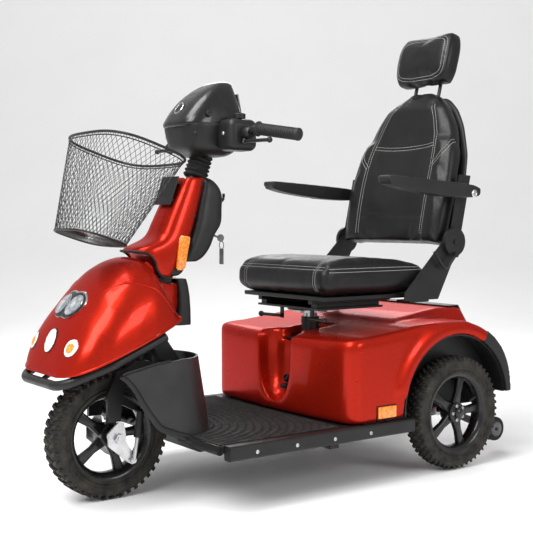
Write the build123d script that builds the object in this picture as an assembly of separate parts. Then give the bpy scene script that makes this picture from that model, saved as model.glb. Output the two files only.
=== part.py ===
from build123d import *
from math import cos, radians, sin, tan
import os

# Three-wheel mobility scooter with a tilting tiller and a swivelling captain's seat.
# Millimetres. +X is the rider's left, -Y is the front, +Z is up.
# While a piece is made, y = 0 is the front axle; save() moves it to the middle of the footprint.

# ---- Driving dimensions ------------------------------------------------------------------
WHEEL_R = 170.0            # all three road wheels
WHEELBASE = 995.0
TRACK = 636.0              # between the middles of the rear tyres
FRONT_TYRE_W = 77.0
REAR_TYRE_W = 68.0
RIM_R = 119.0
RIM_WALL = 6.0
HUB_R = 31.0
AXLE_R = 8.0
REAR_AXLE_R = 11.0
RUN_FIT = 0.06             # radial clearance of a shaft that turns or slides in its hole
GAP = 0.5                  # between pieces that pass each other without touching
SPOKES = 5

RAIL_HALF_W = 349.0        # outer face of the side rails
RAIL_W = 30.0
RAIL_BOTTOM = 136.0
RAIL_TOP = 175.0
FLOOR_FRONT = 152.0
PAN_T = 20.0
MAT_T = 5.0
MAT_RIB = 3.0
TUBE = 30.0                # square tube of the chassis
TUBE_X = 120.0

BODY_HALF_W = 337.0
BODY_FRONT_SETBACK = 417.0  # rear axle to the body's front face
BODY_TOP = 441.0
BODY_WALL = 4.0
ARCH_GAP = 44.0            # tyre to wheel arch
HUMP_HALF_W = 210.0
HUMP_TOP = 472.0
RECESS_HALF_W = 84.0
RECESS_DEPTH = 60.0

SHIELD_HALF_W = 176.0
SHIELD_WALL = 5.0
SHIELD_BACK = 281.0
NOSE_HALF_W = 186.0
NOSE_WALL = 4.0

COLUMN_RAKE = 20.0         # steering axis and tiller lean back by this many degrees
AXIS_Y = 212.0             # the steering axis passes through this point
AXIS_Z = 675.0
STEERER_R = 15.0
HEAD_TUBE_R = 26.0
HEAD_TUBE_LOW = 384.0
HEAD_TUBE_HIGH = 440.0
LEG_X = 56.0               # middle of each fork leg
LEG_T = 12.0
SLIDE_LEAN = 9.0           # the dampers lean back by this many degrees
DAMPER_R = 10.0
DAMPER_ROD_R = 5.0

TILT_Y = 178.0             # tiller hinge
TILT_Z = 630.0
TILT_PIN_R = 9.0
COLUMN_R = 21.0
BAR_R = 11.0
GRIP_R = 16.5
GRIP_LENGTH = 128.0
BAR_HALF_W = 330.0

SEAT_POST_SETBACK = 295.0  # rear axle to the seat post
POST_R = 22.0
POST_WALL = 5.0
POST_TOP = 452.0
SEAT_BASE_Z = 526.0
CUSHION_HALF_W = 240.0
CUSHION_DEPTH = 435.0
CUSHION_T = 108.0
RECLINE_PIN_R = 7.0
BACK_LEAN = 14.0
ARM_X = 281.0
ARM_W = 54.0
ARM_PIN_R = 6.0
HEADREST_POST_R = 6.0

ANTITIP_R = 39.0
ANTITIP_X = 220.0
ANTITIP_Z = 66.0
ANTITIP_SETBACK = 300.0    # rear axle to the anti-tip wheels
ANTITIP_W = 24.0

# ---- Places worked out from them ---------------------------------------------------------
REAR_AXLE_Y = WHEELBASE
BODY_FRONT = WHEELBASE - BODY_FRONT_SETBACK
POST_Y = WHEELBASE - SEAT_POST_SETBACK
ANTITIP_Y = WHEELBASE + ANTITIP_SETBACK
CUSHION_FRONT = POST_Y - 135
RECLINE_Y = CUSHION_FRONT + 501
RECLINE_Z = SEAT_BASE_Z + 155
ARM_PIVOT_Y = RECLINE_Y + 32
ARM_PIVOT_Z = RECLINE_Z + 146
ARM_TIP_Y = ARM_PIVOT_Y - 353
BUMPER_FRONT = -203.0
ORIGIN_Y = (BUMPER_FRONT + ANTITIP_Y + ANTITIP_R) / 2
COLUMN_DIR = Vector(0, sin(radians(COLUMN_RAKE)), cos(radians(COLUMN_RAKE)))
SLIDE_DIR = Vector(0, sin(radians(SLIDE_LEAN)), cos(radians(SLIDE_LEAN)))


# ---- Small makers ------------------------------------------------------------------------
def save(name, *solids):
    """Write one node, moved so that the footprint's middle is the origin."""
    moved = [Pos(0, -ORIGIN_Y, 0) * solid for solid in solids]
    shape = moved[0] if len(moved) == 1 else Compound(children=moved)
    export_step(shape, f"parts/{name}.step")


def block(x, y, z, edge=0.0):
    """A box from (low, high) pairs, with its edges rounded."""
    size = [high - low for low, high in (x, y, z)]
    middle = [(high + low) / 2 for low, high in (x, y, z)]
    solid = Pos(*middle) * Box(*size)
    return fillet(solid.edges(), edge) if edge else solid


def side_profile(points, low_x, high_x, corner=0.0):
    """A plate with a (y, z) outline, from low_x to high_x."""
    outline = Polygon(*points, align=None)
    if corner:
        outline = fillet(outline.vertices(), corner)
    plane = Plane(origin=(low_x, 0, 0), x_dir=(0, 1, 0), z_dir=(1, 0, 0))
    return extrude(plane * outline, high_x - low_x, dir=(1, 0, 0))


def oval_plug(x, y, z, wide, high, length):
    """An oval bar that runs back from (x, y, z), with half-widths wide and high."""
    plane = Plane(origin=(x, y, z), x_dir=(1, 0, 0), z_dir=(0, -1, 0))
    return extrude(plane * Ellipse(wide, high), length, dir=(0, 1, 0))


def rod(start, end, radius):
    """A round bar between two points."""
    line = Line(start, end)
    return sweep(Plane(origin=line @ 0, z_dir=line % 0) * Circle(radius), path=line)


def bent_bar(points, radius, bend):
    """A round bar along straight runs joined by arcs."""
    path = FilletPolyline(*points, radius=bend)
    return sweep(Plane(origin=path @ 0, z_dir=path % 0) * Circle(radius), path=path)


def x_disc(low_x, high_x, y, z, radius):
    """A cylinder that lies along X."""
    return Pos((low_x + high_x) / 2, y, z) * Rot(0, 90, 0) * Cylinder(radius, high_x - low_x)


def mirrored(solid):
    """The same solid on the other side."""
    return mirror(solid, about=Plane.YZ)


def pair(solid):
    """A solid and its mirror image."""
    return [solid, mirrored(solid)]


def column_point(z, ahead=0.0):
    """The point of the steering axis at height z, moved ahead, square to it."""
    y = AXIS_Y + (z - AXIS_Z) * tan(radians(COLUMN_RAKE))
    return Vector(0, y - ahead * cos(radians(COLUMN_RAKE)), z + ahead * sin(radians(COLUMN_RAKE)))


def column_plane(z):
    """The plane square to the steering axis at height z, with +X kept."""
    return Plane(origin=column_point(z), x_dir=(1, 0, 0), z_dir=COLUMN_DIR)


# ---- Chassis -----------------------------------------------------------------------------
def make_chassis_frame():
    low, high = RAIL_BOTTOM - 18, RAIL_BOTTOM + 12
    rear_end = REAR_AXLE_Y + 125
    frame = block((TUBE_X - TUBE / 2, TUBE_X + TUBE / 2), (210, rear_end), (low, high))
    frame += mirrored(frame)
    for y in (210, BODY_FRONT - 60, POST_Y - TUBE / 2, rear_end - TUBE):
        half = RAIL_HALF_W - RAIL_W if y < BODY_FRONT and y > 220 else TUBE_X
        frame += block((-half, half), (y, y + TUBE), (low, high))
    upright = [(210, low), (240, low), (240, 330), (175, 420), (125, 420), (150, 372), (210, 320)]
    head = extrude(column_plane(HEAD_TUBE_LOW) * Circle(HEAD_TUBE_R), (HEAD_TUBE_HIGH - HEAD_TUBE_LOW))
    bore = extrude(column_plane(HEAD_TUBE_LOW - 60) * Circle(STEERER_R + RUN_FIT), 260)
    frame += side_profile(upright, -18, 18) + head
    frame -= bore
    post = Pos(0, POST_Y, (low + POST_TOP) / 2) * Cylinder(POST_R + POST_WALL, POST_TOP - low)
    frame += post
    frame -= Pos(0, POST_Y, (low + 60 + POST_TOP) / 2 + 5) * Cylinder(POST_R + RUN_FIT, POST_TOP - low - 50)
    for side in (-1, 1):
        x = side * TUBE_X
        frame += block((x - 6, x + 6), (REAR_AXLE_Y - 30, REAR_AXLE_Y + 30), (high - 1, WHEEL_R - 20.2))
    return frame


def make_side_rail():
    y_end = REAR_AXLE_Y - WHEEL_R - 14
    rail = block((RAIL_HALF_W - RAIL_W, RAIL_HALF_W), (FLOOR_FRONT + 15, y_end), (RAIL_BOTTOM, RAIL_TOP))
    return fillet(rail.edges().filter_by(Axis.Y), 7)


def make_floor_pan():
    inner = RAIL_HALF_W - RAIL_W - GAP
    top = RAIL_TOP - 1
    plate = block((-inner, inner), (FLOOR_FRONT, POST_Y - POST_R - POST_WALL - 20), (top - PAN_T, top))
    plate = fillet(plate.edges().filter_by(Axis.Z), 14)
    plate -= block((-20, 20), (205, 245), (100, 300))
    wheel_room = Pos(0, 0, top) * Cylinder(WHEEL_R + 22, 200)
    return plate - wheel_room


def shield_outline(offset, z):
    """The leg shield's plan: straight sides that close in an arc behind the front wheel."""
    rise = (z - RAIL_TOP) / (400 - RAIL_TOP)
    half = SHIELD_HALF_W - 26 * max(rise, 0) - offset
    back = SHIELD_BACK - 30 * max(rise, 0) - offset
    front = -90
    sides = Polyline((half, back - 140), (half, front), (-half, front), (-half, back - 140))
    curve = Spline((half, back - 140), (0.72 * half, back - 34), (0, back), (-0.72 * half, back - 34),
                   (-half, back - 140), tangents=[(0, 1), (0, -1)])
    return Pos(0, 0, z) * make_face([*sides.edges(), *curve.edges()])


def make_leg_shield():
    outer = loft([shield_outline(0, z) for z in (RAIL_TOP, 430)])
    inner = loft([shield_outline(SHIELD_WALL, z) for z in (RAIL_TOP - 1, 431)])
    edge = [(153, 176), (68, 207), (34, 253), (1, 310), (-34, 350), (60, 370), (150, 378), (300, 376),
            (300, 176)]
    return (outer - inner) & side_profile(edge, -220, 220)


def make_floor_mat():
    inner = RAIL_HALF_W - RAIL_W - 6
    base = RAIL_TOP - 1
    mat = block((-inner, inner), (200, BODY_FRONT - 24), (base, base + MAT_T))
    y = 320
    while y < BODY_FRONT - 40:
        mat += block((-inner + 12, inner - 12), (y, y + 8), (base + MAT_T - 1, base + MAT_T + MAT_RIB))
        y += 20
    shield = loft([shield_outline(-1.0, z) for z in (RAIL_TOP - 5, 250)])
    return mat - shield


def body_side(z_gain=0.0, inset=0.0):
    """The rear body's side outline in (y, z), from the front face to the tail."""
    front = BODY_FRONT + inset
    tail = REAR_AXLE_Y + 195 - inset
    top = BODY_TOP + z_gain - inset
    low = RAIL_TOP + 1 + inset
    return [(front, low), (front, top - 32), (front + 16, top - 30), (REAR_AXLE_Y - 201, top - 11),
            (REAR_AXLE_Y - 125, top), (tail - 60, top + 2), (tail, top - 70), (tail, low)]


def body_solid(inset):
    half = BODY_HALF_W - inset
    lower = side_profile(body_side(0, inset), -half, half)
    plan = fillet(Rectangle(2 * half, 1000).vertices(), 40)
    lower &= extrude(Pos(0, BODY_FRONT + inset + 500, 0) * plan, 800)
    hump_half = HUMP_HALF_W - inset
    top = HUMP_TOP - inset
    tail = REAR_AXLE_Y + 195 - inset
    hump = [(REAR_AXLE_Y - 230, 330), (REAR_AXLE_Y - 130, BODY_TOP - inset), (REAR_AXLE_Y + 40, top),
            (tail - 40, top), (tail, top - 60), (tail, 330)]
    return lower + side_profile(hump, -hump_half, hump_half)


def make_body_shell():
    shell = body_solid(0) - body_solid(BODY_WALL)
    low = RAIL_TOP
    shell -= block((-BODY_HALF_W + BODY_WALL, BODY_HALF_W - BODY_WALL),
                   (BODY_FRONT + BODY_WALL, REAR_AXLE_Y + 200), (low - 10, low + 20))
    arch_r = WHEEL_R + ARCH_GAP
    inner_x = TRACK / 2 - REAR_TYRE_W / 2 - 18
    for side in (-1, 1):
        arch = x_disc(inner_x, BODY_HALF_W + 40, REAR_AXLE_Y, WHEEL_R + 22, arch_r)
        arch += block((inner_x, BODY_HALF_W + 40), (REAR_AXLE_Y - arch_r, REAR_AXLE_Y + 260),
                      (100, WHEEL_R + 22))
        shell -= arch if side > 0 else mirrored(arch)
    back = BODY_FRONT + RECESS_DEPTH
    recess = side_profile([(BODY_FRONT - 5, 214), (back, 262), (back, 500), (BODY_FRONT - 5, 500)],
                          -RECESS_HALF_W, RECESS_HALF_W)
    recess = fillet(recess.edges().filter_by(Axis.Z), 24)
    reach = RECESS_HALF_W + BODY_WALL
    lining = side_profile([(BODY_FRONT, 208), (back + BODY_WALL, 258), (back + BODY_WALL, BODY_TOP - 30),
                           (BODY_FRONT, BODY_TOP - 34)], -reach, reach)
    shell = shell + lining - recess
    return shell - Pos(0, POST_Y, 430) * Box(96, 90, 120)


def make_rear_panel():
    tail = REAR_AXLE_Y + 195
    top = HUMP_TOP
    outline = [(tail + 0.6, RAIL_TOP + 5), (tail + 0.6, top - 60), (tail - 39.4, top + 0.6),
               (tail - 70, top + 0.6), (tail - 70, top + 6), (tail - 36, top + 6), (tail + 7, top - 57),
               (tail + 7, RAIL_TOP + 5)]
    return side_profile(outline, -HUMP_HALF_W + 12, HUMP_HALF_W - 12)


def make_mudguard(side):
    arch_r = WHEEL_R + ARCH_GAP
    x_low = TRACK / 2 - REAR_TYRE_W / 2 - 14
    ring = x_disc(x_low, TRACK / 2 + 30, REAR_AXLE_Y, WHEEL_R + 22, arch_r - GAP)
    ring -= x_disc(x_low - 1, TRACK / 2 + 31, REAR_AXLE_Y, WHEEL_R + 22, arch_r - 4)
    ring &= block((0, 400), (REAR_AXLE_Y - 300, REAR_AXLE_Y + 300), (WHEEL_R + 8, 600))
    return ring if side > 0 else mirrored(ring)


def make_tail_light(side):
    tail = REAR_AXLE_Y + 195 + 7
    x = side * (HUMP_HALF_W - 60)
    return block((x - 32, x + 32), (tail + GAP, tail + 12), (330, 372), 3)


def make_side_reflector():
    x = BODY_HALF_W
    return block((x + 0.2, x + 5), (REAR_AXLE_Y - 321, REAR_AXLE_Y - 251), (185, 222), 1.5)


def make_battery(side):
    x = side * 160
    return block((x - 90, x + 90), (POST_Y - 45, POST_Y + 87), (RAIL_TOP + 2, RAIL_TOP + 172), 4)


def make_controller():
    return block((-75, 75), (REAR_AXLE_Y - 145, REAR_AXLE_Y - 85), (235, 330), 4)


def make_transaxle():
    case = x_disc(-48, 48, REAR_AXLE_Y, WHEEL_R, 58)
    tube_end = TRACK / 2 - REAR_TYRE_W / 2 - 22
    case += x_disc(-tube_end, tube_end, REAR_AXLE_Y, WHEEL_R, 20)
    case -= x_disc(-tube_end - 1, tube_end + 1, REAR_AXLE_Y, WHEEL_R, REAR_AXLE_R + RUN_FIT)
    motor = Pos(0, REAR_AXLE_Y - 120, WHEEL_R + 8) * Rot(90, 0, 0) * Cylinder(46, 150)
    return [case, motor - x_disc(-50, 50, REAR_AXLE_Y, WHEEL_R, 58 + 0.2)]


def make_antitip_bracket():
    start = REAR_AXLE_Y + 125
    bracket = block((-ANTITIP_X - 6, ANTITIP_X + 6), (start + 0.2, start + 25),
                    (RAIL_BOTTOM - 14, RAIL_BOTTOM + 10))
    for side in (-1, 1):
        x = side * ANTITIP_X
        inner = x - side * (ANTITIP_W / 2 + 6)
        outline = [(start + 2, RAIL_BOTTOM - 12), (start + 2, RAIL_BOTTOM + 8),
                   (ANTITIP_Y + 12, ANTITIP_Z + 10), (ANTITIP_Y + 12, ANTITIP_Z - 12),
                   (ANTITIP_Y - 12, ANTITIP_Z - 12)]
        arm = side_profile(outline, inner - 3, inner + 3)
        bracket += arm
        bracket += x_disc(min(inner, x + side * 16), max(inner, x + side * 16), ANTITIP_Y, ANTITIP_Z, 5)
    return bracket


# ---- Wheels ------------------------------------------------------------------------------
def wheel_round(profile, x, y):
    """Turn an (x, r) outline about the wheel's axle."""
    outline = Polygon(*profile, align=None)
    turned = revolve(Plane.XY * outline, axis=Axis((0, 0, 0), (1, 0, 0)))
    return Pos(x, y, WHEEL_R) * turned


def make_tyre(width, x, y):
    half = width / 2
    outline = [(-half * 0.78, RIM_R), (-half, RIM_R + 16), (-half, WHEEL_R - 18), (-half * 0.72, WHEEL_R - 4),
               (-half * 0.3, WHEEL_R), (half * 0.3, WHEEL_R), (half * 0.72, WHEEL_R - 4),
                (half, WHEEL_R - 18),
               (half, RIM_R + 16), (half * 0.78, RIM_R), (half * 0.6, RIM_R - 1), (half * 0.6, RIM_R + 12),
               (-half * 0.6, RIM_R + 12), (-half * 0.6, RIM_R - 1)]
    return wheel_round(outline, x, y)


def make_rim(width, x, y, axle_r, dish):
    half = width / 2 * 0.78
    barrel = wheel_round([(-half, RIM_R - 1.2), (half, RIM_R - 1.2), (half, RIM_R - RIM_WALL),
                          (half * 0.6, RIM_R - RIM_WALL - 6), (-half * 0.6, RIM_R - RIM_WALL - 6),
                          (-half, RIM_R - RIM_WALL)], x, y)
    hub = x_disc(x - half * 0.9, x + half * 0.9, y, WHEEL_R, HUB_R)
    rim = barrel + hub
    for i in range(SPOKES):
        arm = Pos(0, 0, (HUB_R + RIM_R - 12) / 2) * Box(16, 27, RIM_R - HUB_R - 4)
        rim += Pos(x + dish, y, WHEEL_R) * Rot(360 / SPOKES * i, 0, 0) * arm
    return rim - x_disc(x - 60, x + 60, y, WHEEL_R, axle_r)


def make_rear_shaft(side):
    inner = TRACK / 2 - REAR_TYRE_W / 2 - 18
    outer = TRACK / 2 + REAR_TYRE_W / 2 * 0.7
    shaft = x_disc(60, inner + 2, REAR_AXLE_Y, WHEEL_R, REAR_AXLE_R)
    shaft += x_disc(inner, outer, REAR_AXLE_Y, WHEEL_R, REAR_AXLE_R)
    return shaft if side > 0 else mirrored(shaft)


def make_antitip_wheel(side):
    x = side * ANTITIP_X
    wheel = x_disc(x - ANTITIP_W / 2, x + ANTITIP_W / 2, ANTITIP_Y, ANTITIP_Z, ANTITIP_R)
    wheel = fillet(wheel.edges(), 5)
    return wheel - x_disc(x - 40, x + 40, ANTITIP_Y, ANTITIP_Z, 5 + RUN_FIT)


# ---- Fork and front suspension -----------------------------------------------------------
DAMPER_FOOT = Vector(0, 40, WHEEL_R - 62)
DAMPER_X = LEG_X + LEG_T / 2 + 5 + DAMPER_R + 1


def make_fork():
    steerer = extrude(column_plane(344) * Circle(STEERER_R), 130)
    reach = LEG_X + LEG_T / 2
    crown = side_profile([(60, 352), (112, 334), (122, 356), (112, 364), (70, 372)], -reach, reach)
    fork = steerer + crown
    for side in (-1, 1):
        x = side * LEG_X
        leg = side_profile([(112, 334), (122, 356), (60, 372), (0, 340), (-28, 290), (-28, 214), (10, 214),
                            (14, 280), (34, 318), (70, 340)], x - LEG_T / 2, x + LEG_T / 2)
        fork += leg
        top = DAMPER_FOOT + SLIDE_DIR * 132
        fork += x_disc(min(x, side * DAMPER_X), max(x, side * DAMPER_X), top.Y, top.Z, 7)
        fork += side_profile([(5, 262), (5, 290), (top.Y + 8, top.Z + 8), (top.Y + 6, top.Z - 8)],
                             x - LEG_T / 2, x + LEG_T / 2)
        body = rod(Vector(side * DAMPER_X, 0, 0) + DAMPER_FOOT + SLIDE_DIR * 62,
                   Vector(side * DAMPER_X, 0, 0) + top, DAMPER_R)
        body -= rod(Vector(side * DAMPER_X, 0, 0) + DAMPER_FOOT + SLIDE_DIR * 60,
                    Vector(side * DAMPER_X, 0, 0) + DAMPER_FOOT + SLIDE_DIR * 118, DAMPER_ROD_R + RUN_FIT)
        fork += body
    return fork


def make_axle_carriers():
    carriers = []
    for side in (-1, 1):
        near = LEG_X + LEG_T / 2 + GAP
        low_x, high_x = (near, near + 6) if side > 0 else (-near - 6, -near)
        plate = side_profile([(-30, WHEEL_R - 18), (-30, WHEEL_R + 16), (0, WHEEL_R + 44), (16, WHEEL_R + 40),
                              (24, WHEEL_R - 14), (52, WHEEL_R - 58), (40, WHEEL_R - 74), (26, WHEEL_R - 66)],
                             low_x, high_x)
        x = side * DAMPER_X
        plate += x_disc(min(x, low_x), max(x, high_x), DAMPER_FOOT.Y, DAMPER_FOOT.Z, 8)
        foot = Vector(x, 0, 0) + DAMPER_FOOT
        plate += rod(foot, foot + SLIDE_DIR * 92, DAMPER_ROD_R)
        plate -= x_disc(-200, 200, 0, WHEEL_R, AXLE_R + RUN_FIT)
        carriers.append(plate)
    return carriers


def make_front_axle():
    near = LEG_X + LEG_T / 2 + GAP + 6
    axle = x_disc(-near - 12, near + 12, 0, WHEEL_R, AXLE_R)
    nut_plane = Plane(origin=(near + 0.3, 0, WHEEL_R), x_dir=(0, 1, 0), z_dir=(1, 0, 0))
    nut = extrude(nut_plane * RegularPolygon(14, 6), 9)
    return axle + nut + mirrored(nut)


# ---- Nose --------------------------------------------------------------------------------
def nose_section(y, half, low, top, shrink):
    """An arch across the nose at one y."""
    half -= shrink
    top -= shrink
    shoulder = low + (top - low) * 0.62
    arch = Spline((half, low), (half * 0.88, shoulder), (0, top), tangents=[(0, 1), (-1, 0)])
    sill = Polyline((0, top), (0, low), (half, low))
    plane = Plane(origin=(0, y, 0), x_dir=(1, 0, 0), z_dir=(0, -1, 0))
    return plane * make_face([*arch.edges(), *sill.edges()])


NOSE_STATIONS = [(-180, 70, 352, 378), (-160, 118, 362, 440), (-120, 158, 378, 505), (-60, 180, 402, 580),
                 (0, NOSE_HALF_W, 426, 634), (60, 176, 450, 649), (118, 112, 474, 640)]


def nose_solid(shrink):
    stations = [(y + (shrink if y < -100 else 0), half, low - shrink, top)
                for y, half, low, top in NOSE_STATIONS]
    half_nose = loft([nose_section(*station, shrink) for station in stations])
    return half_nose + mirrored(half_nose)


def make_nose_fender():
    return nose_solid(0) - nose_solid(NOSE_WALL)


def make_headlight_housing():
    housing = oval_plug(0, -140, 527, 60, 35, 92) & (nose_solid(-3) - nose_solid(-0.2))
    return max(housing.solids(), key=lambda solid: solid.volume)


def make_headlight_lens(side):
    lens = oval_plug(side * 27, -140, 527, 21, 17, 92) & (nose_solid(-7) - nose_solid(-3.2))
    return max(lens.solids(), key=lambda solid: solid.volume)


def make_nose_lamp(x, z, wide, high):
    lamp = oval_plug(x, -200, z, wide, high, 170) & (nose_solid(-5) - nose_solid(-0.5))
    return max(lamp.solids(), key=lambda solid: solid.volume)


NOSE_LAMPS = [(0, 429, 17, 14), (-118, 420, 15, 13), (118, 420, 15, 13)]


def make_bumper_bar():
    def point(x, y):
        return (x, y, 335 + 0.4 * (y + 180))
    radius = 12.5
    front = BUMPER_FRONT + radius
    corners = [point(-160, 90), point(-166, -60), point(-120, front), point(120, front), point(166, -60),
               point(160, 90)]
    bar = bent_bar(corners, radius, 60)
    for side in (-1, 1):
        bar += rod(Vector(*point(side * 160, 84)), Vector(side * 150, 84, 462), 6)
    stay = side_profile([(85, 366), (85, 386), (-110, 386), (front + 4, 338), (front - 4, 326), (-112, 372)],
                        -9, 9)
    return bar + stay


def make_neck_cover():
    outline = [(119, 476), (119, 640), (140, 596), (205, 584), (236, 580), (240, 500), (243, 455), (170, 455)]
    cover = side_profile(outline, -60, 60)
    cover = fillet(cover.edges().filter_by(Axis.X).sort_by(Axis.Y)[-3:], 8)
    cover -= side_profile([(90, 430), (90, 700), (137, 700), (137, 590), (205, 579), (231, 575), (235, 500),
                           (238, 400)],
                          -56, 56)
    return cover - block((-44, 44), (122, TILT_Y + 38), (560, 700))


def make_tilt_bracket():
    tube = extrude(column_plane(470) * Circle(STEERER_R + 9), 90)
    tube -= extrude(column_plane(420) * Circle(STEERER_R + 0.05), 110)
    ears = side_profile([(120, 540), (160, 520), (TILT_Y + 18, TILT_Z - 8), (TILT_Y + 12, TILT_Z + 14),
                         (TILT_Y - 14, TILT_Z + 14), (TILT_Y - 20, TILT_Z - 10)], -38, 38)
    ears -= block((-30, 30), (100, 260), (575, 700))
    pin = x_disc(-42, 42, TILT_Y, TILT_Z, TILT_PIN_R)
    return tube + ears + pin


# ---- Tiller ------------------------------------------------------------------------------
BASKET_ARM_Z = (800, 848)


def make_tiller_column():
    barrel = x_disc(-29.5, 29.5, TILT_Y, TILT_Z, 22)
    column = rod(Vector(0, TILT_Y, TILT_Z) + COLUMN_DIR * 15 + Vector(0, 6, 0), column_point(960), COLUMN_R)
    column += barrel
    column -= x_disc(-40, 40, TILT_Y, TILT_Z, TILT_PIN_R + RUN_FIT)
    for z in BASKET_ARM_Z:
        start = column_point(z)
        arm = block((-30, 30), (start.Y - 76, start.Y - COLUMN_R + 3), (z, z + 6))
        column += arm
    low_y, high_y = (column_point(z).Y - 76 for z in BASKET_ARM_Z)
    plate = [(low_y - 9, 790), (low_y - 3, 790), (high_y + 8, 868), (high_y + 2, 868)]
    column += side_profile(plate, -40, 40)
    return column


def tiller_section(z, half, front, back):
    """A rounded rectangle square to the column."""
    face = fillet(Rectangle(2 * half, front + back).vertices(), min(22, 0.45 * (front + back)))
    return column_plane(z) * Pos(0, (back - front) / 2, 0) * face


def make_tiller_cover():
    outer = loft([tiller_section(668, 68, 70, 20), tiller_section(700, 66, 60, 20),
                  tiller_section(858, 52, 34, 20)])
    inner = loft([tiller_section(667, 64, 66, 40), tiller_section(700, 62, 56, 40),
                  tiller_section(859, 48, 30, 40)])
    cover = outer - inner
    for z in BASKET_ARM_Z:
        cover -= block((-32, 32), (100, column_point(z).Y), (z - 2, z + 8))
    return cover


def make_tiller_rear_cover():
    outer = loft([tiller_section(660, 60, -21, 66), tiller_section(700, 62, -21, 78),
                    tiller_section(850, 48, -21, 62)])
    inner = loft([tiller_section(659, 56, 0, 62), tiller_section(700, 58, 0, 74),
                  tiller_section(851, 44, 0, 58)])
    return outer - inner


def make_tiller_reflector():
    plane = column_plane(662)
    half = 67.5
    strip = plane * Pos(half + 2.5, -8, 44) * Box(4, 34, 84)
    return fillet(strip.edges(), 1.5)


def make_boot():
    boot = None
    for i in range(6):
        fold = column_plane(862 + 13 * i) * Circle(37 if i % 2 else 32)
        ring = extrude(fold, 13 / cos(radians(COLUMN_RAKE)))
        boot = ring if boot is None else boot + ring
    return boot - extrude(column_plane(850) * Circle(COLUMN_R + 5), 160)


def make_console_head():
    outline = [(226, 945), (216, 1005), (232, 1062), (268, 1100), (302, 1126), (343, 1136), (368, 1133),
               (376, 1118),
               (416, 1050), (400, 1000), (388, 945), (345, 926), (262, 934)]
    head = side_profile(outline, -100, 100)
    plan = fillet(Rectangle(200, 420).vertices(), 70)
    head &= extrude(Pos(0, 320, 800) * plan, 500)
    room = offset(Polygon(*outline, align=None), -6)
    hollow = Plane(origin=(-92, 0, 0), x_dir=(0, 1, 0), z_dir=(1, 0, 0)) * room
    head -= extrude(hollow, 184, dir=(1, 0, 0)) & block((-92, 92), (238, 330), (948, 1200))
    head -= extrude(column_plane(900) * Circle(COLUMN_R + 5), 80)
    head -= extrude(column_plane(900) * Circle(38), 46)
    pods = block((100, 160), (300, 392), (938, 1026), 14)
    head += pods + mirrored(pods)
    head -= Pos(-130, 346, 1024) * Cylinder(10.4, 8)
    head -= rod((-BAR_HALF_W, 348, 985), (BAR_HALF_W, 348, 985), BAR_R + 0.05)
    for side in (-1, 1):
        head -= rod((side * 132, 347, 984), (side * GRIP_START.X, GRIP_START.Y, GRIP_START.Z), BAR_R + 3)
    return head


GRIP_START = Vector(202, 352, 994)
GRIP_END = Vector(BAR_HALF_W, 398, 972)


def make_handlebar():
    right = [(150, 348, 985), (GRIP_START.X, GRIP_START.Y, GRIP_START.Z),
             (GRIP_END.X, GRIP_END.Y, GRIP_END.Z)]
    points = [(-x, y, z) for x, y, z in reversed(right)] + right
    path = FilletPolyline(*points, radius=[60, 40, 40, 60])
    bar = sweep(Plane(origin=path @ 0, z_dir=path % 0) * Circle(BAR_R), path=path)
    return bar


def make_grip():
    direction = (GRIP_END - GRIP_START).normalized()
    start = GRIP_END - direction * (GRIP_LENGTH - 6)
    grip = rod(start, GRIP_END + direction * 5, GRIP_R)
    flange = rod(start, start + direction * 5, GRIP_R + 5)
    return grip + flange - rod(start - direction, GRIP_END, BAR_R + 0.05)


def make_lever(side):
    pivot = Vector(side * 168, 336, 962)
    tip = Vector(side * 292, 330, 958)
    lever = rod(pivot, tip, 5) + Pos(*tip) * Sphere(8)
    boss = Plane(origin=pivot, x_dir=(1, 0, 0), z_dir=(0, 0.3, 0.95)) * Cylinder(7, 12)
    return lever + boss


def make_speed_dial():
    knob = Pos(130, 346, 1027) * Cylinder(17, 14, align=(Align.CENTER, Align.CENTER, Align.MIN))
    return fillet(knob.edges().sort_by(Axis.Z)[-1:], 3)


def make_button(x, y, z, radius):
    return Pos(x, y, z) * Cylinder(radius, 6, align=(Align.CENTER, Align.CENTER, Align.MIN))


LOCK = Vector(0, 345, 704)
LOCK_DIR = Vector(0, cos(radians(COLUMN_RAKE)), -sin(radians(COLUMN_RAKE)))


def make_key():
    start = LOCK
    barrel = rod(start - LOCK_DIR * 34, start - LOCK_DIR * 2, 10)
    blade = rod(start - LOCK_DIR * 2, start + LOCK_DIR * 14, 3)
    bow = Pos(0, start.Y + 24, start.Z - 8) * Rot(0, 90, 0) * Cylinder(11, 3)
    return barrel, blade + bow


def make_key_ring():
    ring = Pos(0, LOCK.Y + 27, LOCK.Z - 29) * Rot(0, 0, 0) * Rot(90, 0, 0) * Torus(11, 1.2)
    fob = block((-9, 9), (LOCK.Y + 25, LOCK.Y + 29), (LOCK.Z - 84, LOCK.Z - 39), 1)
    return ring + fob


# ---- Basket ------------------------------------------------------------------------------
BASKET_TILT = 18.0
BASKET_WALL = 4.0


def basket_section(y, z, wide, deep, corner):
    plane = Plane(origin=(0, y, z), x_dir=(1, 0, 0),
                  z_dir=(0, sin(radians(BASKET_TILT)), cos(radians(BASKET_TILT))))
    return plane * fillet(Rectangle(wide, deep).vertices(), corner)


def make_basket():
    wall = BASKET_WALL
    outer = loft([basket_section(-46, 700, 230, 150, 60), basket_section(64, 938, 360, 250, 95)])
    inner = loft([basket_section(-44, 704, 230 - 2 * wall, 150 - 2 * wall, 56),
                    basket_section(66, 942, 360 - 2 * wall, 250 - 2 * wall, 91)])
    return outer - inner


# ---- Seat --------------------------------------------------------------------------------
LEVER_X = 75.0
LEVER_END_X = 158.0
LEVER_Y = POST_Y - 60
LEVER_Z = SEAT_BASE_Z - 74


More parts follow.
